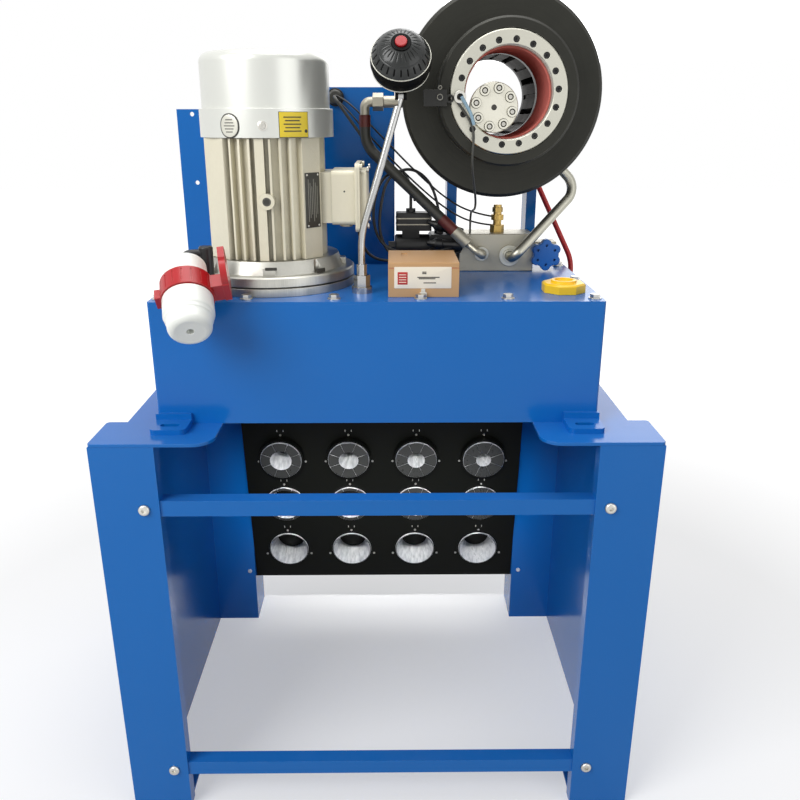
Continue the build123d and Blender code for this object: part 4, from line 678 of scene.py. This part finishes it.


# motor: badge, screw and label on the band, rating plate on its pad, slots of painted shade, lid screws
motorPiece = {"band": 0.098, "bandUp": 1.059, "badgeAngle": 246.5, "screwAngle": 274.4,
              "labelAngle": 300.5, "labelUp": 1.0605, "plateAngle": -42.0, "plateFace": 0.0935,
              "plateUp": 0.956}
motorAxis = tuple(middle("fan_cowl")[:2])


def onBand(angle, up=motorPiece["bandUp"]):
    return drumPlace(motorAxis, motorPiece["band"], angle, up)


badgeSpot = onBand(motorPiece["badgeAngle"])
addPiece("band_badge_rim", [slab(0.0152, 0.0167, 0.0152, 0.0010, badgeSpot, bowed=True)], "print_and_shade_dark")
addPiece("band_badge", [slab(0.0134, 0.0149, 0.0134, 0.0015, badgeSpot, bowed=True)], "badge_pale")
addPiece("band_badge_lines",
         [slab(0.0085 - 0.0016 * abs(k), 0.0006, 0.0003, 0.0018,
               onBand(motorPiece["badgeAngle"], motorPiece["bandUp"] + 0.0040 * k), soft=0.0001, bowed=True)
          for k in (-2, -1, 0, 1, 2)], "print_and_shade_dark")
screwPlace = onBand(motorPiece["screwAngle"])
addPiece("band_screw",
         [screw(0.0046, screwPlace),
          turnedPiece([(0.0068, -0.0003), (0.0068, 0.0006), (0.0062, 0.0009), (0.0001, 0.0009)], screwPlace)],
         "zinc")
labelSpot = onBand(motorPiece["labelAngle"], motorPiece["labelUp"])
addPiece("band_label_rim", [slab(0.0222, 0.0172, 0.0008, 0.0006, labelSpot, soft=0.0002, bowed=True)],
         "print_and_shade_dark")
addPiece("band_label", [slab(0.0214, 0.0164, 0.0006, 0.0009, labelSpot, soft=0.0002, bowed=True)],
         "label_yellow")
addPiece("band_label_rules",
         [slab(0.0130 - 0.0022 * (k % 2), 0.0007, 0.0003, 0.0012,
               onBand(motorPiece["labelAngle"] - 1.5, motorPiece["labelUp"] + 0.0100 - 0.0046 * k),
               soft=0.0001, bowed=True) for k in range(5)]
         + [turnedPiece([(0.0024, -0.0003), (0.0024, 0.0012), (0.0021, 0.0013), (0.0001, 0.0013)],
                        onBand(motorPiece["labelAngle"] + 10.5, motorPiece["labelUp"] - 0.0085))],
         "print_and_shade_dark")


def onPad(side, up):
    angle = math.radians(motorPiece["plateAngle"])
    out = np.array((math.cos(angle), math.sin(angle), 0))
    across = np.array((-math.sin(angle), math.cos(angle), 0))
    origin = np.array((*motorAxis, motorPiece["plateUp"] + up)) + out * motorPiece["plateFace"]
    return flatPlace(origin + across * side, out, across)


addPiece("rating_plate", [slab(0.0140, 0.0390, 0.0010, 0.0011, onPad(0, 0))], "plate_dark")
addPiece("rating_plate_rules",
         [slab(0.0004, 0.030 - 0.005 * (k % 3), 0.0002, 0.0014, onPad(-0.0085 + 0.0034 * k, 0), soft=0.0001)
          for k in range(6)], "rule_pale")
addPiece("rating_plate_rivets",
         [turnedPiece([(0.0017, -0.0002), (0.0015, 0.0018), (0.0008, 0.0022), (0.0001, 0.0023)],
                      onPad(side, up)) for up in (0.036, -0.036) for side in (-0.0105, 0.0105)], "zinc")
# painted shade: dark patches stand for the slots in the bell housing
addPiece("bell_slot_shade",
         [slab(0.0085, 0.0022, 0.001, 0.0006, drumPlace(motorAxis, 0.1125, 275.6, 0.8640), bowed=True),
          slab(0.0080, 0.0036, 0.0015, 0.0006, drumPlace(motorAxis, 0.1120, 315.6, 0.8560), bowed=True)],
         "print_and_shade_dark")
ribPlace = flatPlace((motorAxis[0] + 0.008, boxOf("motor_housing")[0][1], 0.957), forward)
addPiece("rib_socket", [ringPiece(0.0060, 0.0047, -0.0004, 0.0006, ribPlace),
                        turnedPiece([(0.0046, -0.0014), (0.0046, -0.0006), (0.0001, -0.0008)], ribPlace)],
         "plate_dark")
lidLow, lidHigh = boxOf("terminal_lid")
lidCorners = [(lidHigh[0], backOf, upOf) for backOf in (lidLow[1] + 0.009, lidHigh[1] - 0.009)
              for upOf in (lidLow[2] + 0.009, lidHigh[2] - 0.009)]
addPiece("terminal_lid_screws", [screw(0.0044, flatPlace(corner, (1, 0, 0), (0, 1, 0)))
                                 for corner in lidCorners], "zinc")
addPiece("terminal_box_dot",
         [turnedPiece([(0.0013, -0.0002), (0.0013, 0.0003), (0.0001, 0.0003)],
                      flatPlace((lidLow[0] - 0.020, boxOf("terminal_box")[0][1] + 0.007, 0.967), forward))],
         "print_and_shade_dark")
print("motor pieces made")

# crimping head: screws in the change tool over dark discs and rings of painted shade in their seats and middle
# hole, dark discs of painted shade for the bracket's holes, rims and eyelet on the bracket, pale start of the
# switch's lead
toolSet = {"screws": 8, "circle": 0.0264, "first": 32.0}
toolMiddle, toolFront = middle("change_tool"), boxOf("change_tool")[0][1]
toolAngles = np.radians(toolSet["first"] + np.arange(toolSet["screws"]) * 360 / toolSet["screws"])
toolSpots = [flatPlace((toolMiddle[0] + toolSet["circle"] * math.cos(a), toolFront,
                        toolMiddle[2] + toolSet["circle"] * math.sin(a)), forward) for a in toolAngles]
# painted shade: dark discs on the floors of the screw seats and dark rings round them
addPiece("tool_screw_seat_shade",
         [turnedPiece([(0.0043, -0.0042), (0.0043, -0.0036), (0.0001, -0.0036)], place)
          for place in toolSpots]
         + [ringPiece(0.0076, 0.0069, -0.0052, -0.0047, place) for place in toolSpots],
         "print_and_shade_dark", body="tool")
addPiece("tool_screws",
         [turnedPiece([(0.0031, -0.0040), (0.0031, -0.0012), (0.0026, -0.0006), (0.0014, -0.0006),
                       (0.0013, -0.0022), (0.0001, -0.0022)], place) for place in toolSpots], "zinc",
         body="tool")
# painted shade: dark disc at the bottom of the tool's middle hole
addPiece("tool_hole_shade",
         [turnedPiece([(0.0039, -0.0060), (0.0039, -0.0052), (0.0036, -0.0050), (0.0001, -0.0050)],
                      flatPlace((toolMiddle[0], toolFront, toolMiddle[2]), forward))], "print_and_shade_dark",
         body="tool")
bracketFront = boxOf("switch_bracket")[0][1]
addPiece("bracket_eyelet",
         [ringPiece(0.0086, 0.0046, 0.0002, 0.0026,
                    flatPlace((headX - 0.0700, bracketFront + 0.002, headZ - 0.006), (0.15, -1, 0.1)))],
         "zinc")
addTube("switch_lead_pale", [(headX - 0.0680, bracketFront - 0.001, headZ - 0.0050),
                             (headX - 0.0600, bracketFront - 0.0015, headZ - 0.0180),
                             (headX - 0.0530, bracketFront - 0.0030, headZ - 0.0300),
                             (headX - 0.0495, bracketFront - 0.0040, headZ - 0.0430)], 0.0024, "wire_blue")
bracketHoles = [(radius, flatPlace((headX - 0.0980, bracketFront + 0.0002, headZ + up), forward))
                for radius, up in ((0.0042, -0.0060), (0.0028, 0.0065))]
addPiece("bracket_rims", [ringPiece(radius, radius - 0.0010, 0, 0.0005, place)
                          for radius, place in bracketHoles], "rule_pale")
# painted shade: dark discs stand for the bracket's holes
addPiece("bracket_hole_shade", [slab(*(radius - 0.0008,) * 3, 0.0003, place, soft=0.00005)
                           for radius, place in bracketHoles], "screw_black")
print("head pieces made")

# indicator lamp: fluted dome over the housing with dark slivers of painted shade along its flutes and grooves,
# rings at the button, the rim and the foot
lampPiece = {"flutes": 24, "reach": 0.0396, "rimHigh": 0.033, "core": 0.022, "skin": 0.0009}
jointOf = {joint["name"]: joint for joint in frame["joints"]}
lampAxis = -np.array(jointOf["lamp_button_press"]["axis"])
lampUp = np.array((0, lampAxis[2], -lampAxis[1]))
lampFoot = np.array(jointOf["lamp_tilt"]["pos_m"]) + lampUp * lampPiece["reach"]


# radius and height along the dome's arc, from the button's ring to the rim, on a circle through three points
def domeArc(count):
    a, b, c = np.array((0.013, 0.056)), np.array((0.0325, 0.044)), np.array((0.042, 0.024))
    centre = np.linalg.solve(2 * np.array((b - a, c - a)), (b @ b - a @ a, c @ c - a @ a))
    reach = np.linalg.norm(a - centre)
    rimAngle = math.asin((lampPiece["rimHigh"] - centre[1]) / reach)
    angle = np.linspace(math.atan2(*(a - centre)[::-1]), rimAngle, count)
    return centre + reach * np.stack((np.cos(angle), np.sin(angle)), axis=1)


# points at a radius and a height about the lamp's axis, turned by an angle
def aboutLamp(radius, height, angle):
    side = np.array((1.0, 0, 0))
    across = np.cross(lampAxis, side)
    return (lampFoot + (radius * np.cos(angle))[..., None] * side
            + (radius * np.sin(angle))[..., None] * across
            + (height * np.ones_like(angle))[..., None] * lampAxis).reshape(-1, 3)


# 1 well inside the stretch from low to high, with soft ends
def stretch(along, low, high, ease):
    return 1 / (1 + np.exp(-(along - low) / ease)) / (1 + np.exp((along - high) / ease))


# the arc turned about the lamp's axis and moved in by narrow flutes, a line, and deeper grooves near the rim
def lampDome(rows=90, turns=576):
    arc = domeArc(rows)
    along = arc[:, :1] / arc[-1, 0]
    angle = (np.arange(turns) / turns * 2 * math.pi)[None, :]
    wave = 0.5 + 0.5 * np.cos(angle * lampPiece["flutes"])
    flute = 0.0003 * wave ** 4 * stretch(along, 0.40, 0.66, 0.02)
    groove = 0.0009 * wave ** 8 * stretch(along, 0.82, 0.965, 0.006)
    line = 0.0005 * np.exp(-((along - 0.775) / 0.008) ** 2)
    inward = flute + groove + line - lampPiece["skin"]
    outward = arc - np.array((0.0, lampPiece["core"]))
    outward /= np.linalg.norm(outward, axis=1)[:, None]
    radius = arc[:, :1] - outward[:, :1] * inward
    height = arc[:, 1:] - outward[:, 1:] * inward
    return aboutLamp(radius, height, angle), ringQuads(rows, turns)[:, ::-1].tolist()


# painted shade on the dome: a dark sliver for each flute, rows along its arc that narrow towards the tip
def domeShadeSlivers(low, high, halfAngle, tip, lift=0.0008, rows=14, columns=5):
    arc = domeArc(400)
    share = np.linspace(0, 1, rows)
    radius = (arc[-1, 0] * (low + (high - low) * share))[None, :, None]
    height = np.interp(radius, arc[:, 0], arc[:, 1])
    narrow = (1 + (tip - 1) * share)[None, :, None]
    spread = np.linspace(-1, 1, columns)[None, None, :] * math.radians(halfAngle) * narrow
    angle = (np.arange(lampPiece["flutes"]) / lampPiece["flutes"] * 2 * math.pi)[:, None, None] + spread
    above = height - lampPiece["core"]
    length = np.sqrt(radius ** 2 + above ** 2)
    corner = (np.arange(lampPiece["flutes"])[:, None, None] * rows * columns
              + np.arange(rows - 1)[None, :, None] * columns + np.arange(columns - 1)[None, None, :])
    quads = np.stack((corner, corner + columns, corner + columns + 1, corner + 1), axis=-1)
    points = aboutLamp(radius * (1 + lift / length), height + above * lift / length, angle)
    return points, quads.reshape(-1, 4).tolist()


# an open skin on the lamp, with a wall inwards
def lampSkin(name, skin, finishName, thick):
    wall = addPiece(name, [skin], finishName, body="lamp", sharp=80).modifiers.new("wall", "SOLIDIFY")
    wall.thickness = thick
    wall.offset = -1


lampPlace = flatPlace(lampFoot, lampAxis)
lampSkin("lamp_dome", lampDome(), "lamp_black", 0.0012)
addPiece("lamp_button_ring", [ringPiece(0.0136, 0.0088, 0.0560, 0.0590, lampPlace)], "lamp_foot", body="lamp")
# the dark slivers paint the shade in the flutes and in the grooves near the rim
lampSkin("lamp_flute_shade", domeShadeSlivers(0.40, 0.64, 1.5, 0.3), "lamp_foot", 0.0006)
lampSkin("lamp_groove_shade", domeShadeSlivers(0.83, 0.955, 1.3, 1.0), "lamp_foot", 0.0006)
addPiece("lamp_ring_dark", [ringPiece(0.0165, 0.0125, 0.0530, 0.0556, lampPlace)], "lamp_foot", body="lamp")
addPiece("lamp_equator", [ringPiece(0.0412, 0.0385, 0.0318, 0.0330, lampPlace)], "badge_pale", body="lamp")
addPiece("lamp_foot_rim", [ringPiece(0.0402, 0.0385, 0.0078, 0.0090, lampPlace)], "badge_pale", body="lamp")
print("lamp pieces made")

# nut of the cable gland on the cabinet
glandPiece = {"side": -0.074, "up": 1.103, "radius": 0.0145}
cabinetFront = boxOf("control_cabinet")[0][1]
addPiece("gland_nut",
         [ringPiece(glandPiece["radius"], 0.0122, -0.0004, 0.0060,
                    flatPlace((glandPiece["side"], cabinetFront, glandPiece["up"]), forward))], "coil_black")

# manifold: bright rings round both pipe ends; sleeves at both ends of the hose
manifoldFront = boxOf("manifold_block")[0][1]
portLeft = flatPlace((0.171, manifoldFront, 0.855), forward)
portRight = flatPlace((0.218, manifoldFront, 0.852), forward)
addPiece("port_ring_left", [ringPiece(0.0118, 0.0078, -0.0002, 0.0022, portLeft)], "badge_pale")
addPiece("port_ring_right", [ringPiece(0.0172, 0.0112, -0.0002, 0.0022, portRight),
                             ringPiece(0.0110, 0.0084, -0.0002, 0.0060, portRight)], "badge_pale")
hoseSet = {"side": -0.022, "back": 0.340, "top": 1.074, "turn": 1.028, "end": (0.124, 0.306, 0.894),
           "radius": 0.0094}
hoseTurn = spot(hoseSet["side"], hoseSet["back"], hoseSet["turn"])
hoseEnd = spot(*hoseSet["end"])
hoseWay = (hoseEnd - hoseTurn) / np.linalg.norm(hoseEnd - hoseTurn)
addTube("hose_sleeve_top", [spot(hoseSet["side"], hoseSet["back"], hoseSet["top"] - drop)
                            for drop in (0.0, 0.006, 0.012, 0.018)], hoseSet["radius"], "sleeve_red")
addTube("hose_sleeve_end", [hoseEnd - hoseWay * back for back in (0.030, 0.020, 0.010, 0.0)],
        hoseSet["radius"], "sleeve_red")
print("manifold and hose pieces made")

# accessory box: lid flap, label with a red field and ruled lines, clip in front
boxLow, boxHigh = boxOf("accessory_box")
boxMiddle = (boxLow + boxHigh) / 2
labelPiece = {"side": 0.0652, "up": 0.8535, "halfWide": 0.041, "halfHigh": 0.0155,
              "rules": ((0.002, 0.0080, 0.003), (0.002, 0.0060, 0.003), (0.008, 0.0005, 0.016),
                        (0.006, -0.0015, 0.012), (0.010, -0.0075, 0.009))}


def onBox(side, up):
    return flatPlace((side, boxLow[1], up), forward)


addPiece("box_label", [slab(labelPiece["halfWide"], labelPiece["halfHigh"], 0.0012, 0.0006,
                            onBox(labelPiece["side"], labelPiece["up"]), soft=0.0002)], "label_cream")
addPiece("box_label_field",
         [slab(0.0072, 0.0090, 0.0006, 0.0009, onBox(labelPiece["side"] - 0.0290, labelPiece["up"] - 0.001),
               soft=0.0002)], "rule_red")
addPiece("box_label_field_lines",
         [slab(0.0052, 0.0005, 0.0002, 0.0012,
               onBox(labelPiece["side"] - 0.0290, labelPiece["up"] + 0.0042 - 0.0036 * k), soft=0.0001)
          for k in range(4)], "label_cream")
addPiece("box_label_rules",
         [slab(wide, 0.0007, 0.0003, 0.0009, onBox(labelPiece["side"] + side, labelPiece["up"] + up),
               soft=0.0001) for side, up, wide in labelPiece["rules"]], "print_and_shade_dark")
addPiece("box_flap", [slab((boxHigh[0] - boxLow[0]) / 2 - 0.0006, 0.0034, 0.0004, 0.0005,
                           onBox(boxMiddle[0], boxHigh[2] - 0.0040), soft=0.0002)], "box_tan")
addPiece("box_flap_line", [slab((boxHigh[0] - boxLow[0]) / 2 - 0.0006, 0.0003, 0.0001, 0.0004,
                                onBox(boxMiddle[0], boxHigh[2] - 0.0078), soft=0.0001)], "rule_red")
addPiece("box_clip", [slab(0.0050, 0.0035, 0.0012, 0.0030, onBox(0.0659, boxLow[2] + 0.0042)),
                      slab(0.0030, 0.0060, 0.0012, 0.0016, onBox(0.0659, boxLow[2] + 0.0066))], "zinc")
print("box pieces made")

# die rack: screws round each cup, tick marks above, bolts on the rear legs
rackSet = {"rowPitch": 0.120, "screwCircle": 0.0500, "rows": 3, "foot": (0.543, 0.101),
           "legBolts": (-0.296, 0.299)}
rackNormal = np.array(rackFacing)
rackUp = np.array((0, rackFacing[2], -rackFacing[1]))
rackFoot = spot(0, *rackSet["foot"])
cupSpots = []
for row in range(rackSet["rows"]):
    for column in (1, 2, 3, 4):
        onAxis = middle(f"die_set_{column}") - rackUp * rackSet["rowPitch"] * row
        cupSpots.append(onAxis - rackNormal * np.dot(onAxis - rackFoot, rackNormal))


def onRack(cup, angle, reach):
    a = math.radians(angle)
    return flatPlace(cup + np.array((1, 0, 0)) * reach * math.cos(a) + rackUp * reach * math.sin(a),
                     rackNormal)


addPiece("rack_screws", [screw(0.0024, onRack(cup, angle, rackSet["screwCircle"]))
                         for cup in cupSpots for angle in (195, 345, 90)], "zinc")
addPiece("rack_ticks",
         [slab(0.0006, 0.0022, 0.0003, 0.0005, onRack(cup, angle, rackSet["screwCircle"] + 0.010),
               soft=0.0001) for cup in cupSpots for angle in (84, 96)], "badge_pale")
addPiece("rear_leg_bolts", [screw(0.0045, flatPlace(spot(side, 0.528, 0.122), forward))
                            for side in rackSet["legBolts"]], "white_paint")
print("rack pieces made")

# wiring between the valve, the gland and the brass valve; both ends of each wire go into a piece
wireSet = {"thin": 0.0015, "thick": 0.0024}
wireRuns = {
    "wire_loop_1": ("thick", [(0.060, 0.352, 0.938), (0.050, 0.352, 0.985), (0.012, 0.340, 0.985),
                              (-0.008, 0.325, 0.950), (-0.010, 0.305, 0.900), (0.010, 0.290, 0.868),
                              (0.050, 0.285, 0.860), (0.100, 0.300, 0.862), (0.130, 0.322, 0.868)]),
    "wire_loop_2": ("thick", [(0.105, 0.355, 0.880), (0.100, 0.350, 0.950), (0.060, 0.340, 0.995),
                              (0.015, 0.330, 0.982), (0.002, 0.315, 0.935), (0.000, 0.300, 0.885),
                              (0.024, 0.282, 0.852), (0.070, 0.285, 0.850), (0.112, 0.305, 0.852),
                              (0.136, 0.324, 0.858)]),
    "wire_loop_3": ("thick", [(-0.034, 0.262, 0.914), (-0.030, 0.272, 0.880), (-0.010, 0.280, 0.852),
                              (0.030, 0.284, 0.848), (0.070, 0.292, 0.856), (0.095, 0.318, 0.868),
                              (0.105, 0.335, 0.872)]),
    "wire_gland_1": ("thin", [(-0.074, 0.408, 1.106), (-0.055, 0.392, 1.100), (-0.010, 0.380, 1.055),
                              (0.060, 0.368, 0.985), (0.120, 0.360, 0.935), (0.165, 0.356, 0.916),
                              (0.195, 0.353, 0.912)]),
    "wire_gland_2": ("thin", [(-0.074, 0.408, 1.100), (-0.058, 0.390, 1.090), (-0.015, 0.378, 1.040),
                              (0.050, 0.366, 0.975), (0.110, 0.358, 0.925), (0.160, 0.354, 0.900),
                              (0.195, 0.353, 0.898)]),
}
for wireName, (kind, run) in wireRuns.items():
    addTube(wireName, [spot(*place) for place in run], wireSet[kind], "coil_black")
plugProfile = [(0.0088, 0.000), (0.0088, 0.014), (0.0074, 0.016), (0.0074, 0.034), (0.0090, 0.036),
               (0.0090, 0.046), (0.0060, 0.050), (0.0034, 0.060), (0.0001, 0.061)]
plugSpots = {"sensor_plug_1": ((0.138, 0.322, 0.868), (-1, -0.15, 0.10)),
             "sensor_plug_2": ((0.138, 0.330, 0.887), (-1, -0.1, 0.35))}
for plugName, (place, way) in plugSpots.items():
    addPiece(plugName, [turnedPiece(plugProfile, flatPlace(spot(*place), way, (0, 1, 0)))], "coil_black")
coilTop = boxOf("valve_coil")[1][2]


def onCoil(up):
    return flatPlace((0.058, middle("valve_coil")[1], coilTop + up), (0, 0, 1))


addPiece("coil_plug", [slab(0.030, 0.016, 0.004, 0.024, onCoil(-0.030), soft=0.002, sink=0.006)],
         "coil_black")
addPiece("coil_plug_edges", [slab(0.0305, 0.0165, 0.004, 0.0016, onCoil(up)) for up in (-0.016, -0.026)],
         "valve_silver")
print("wires made")
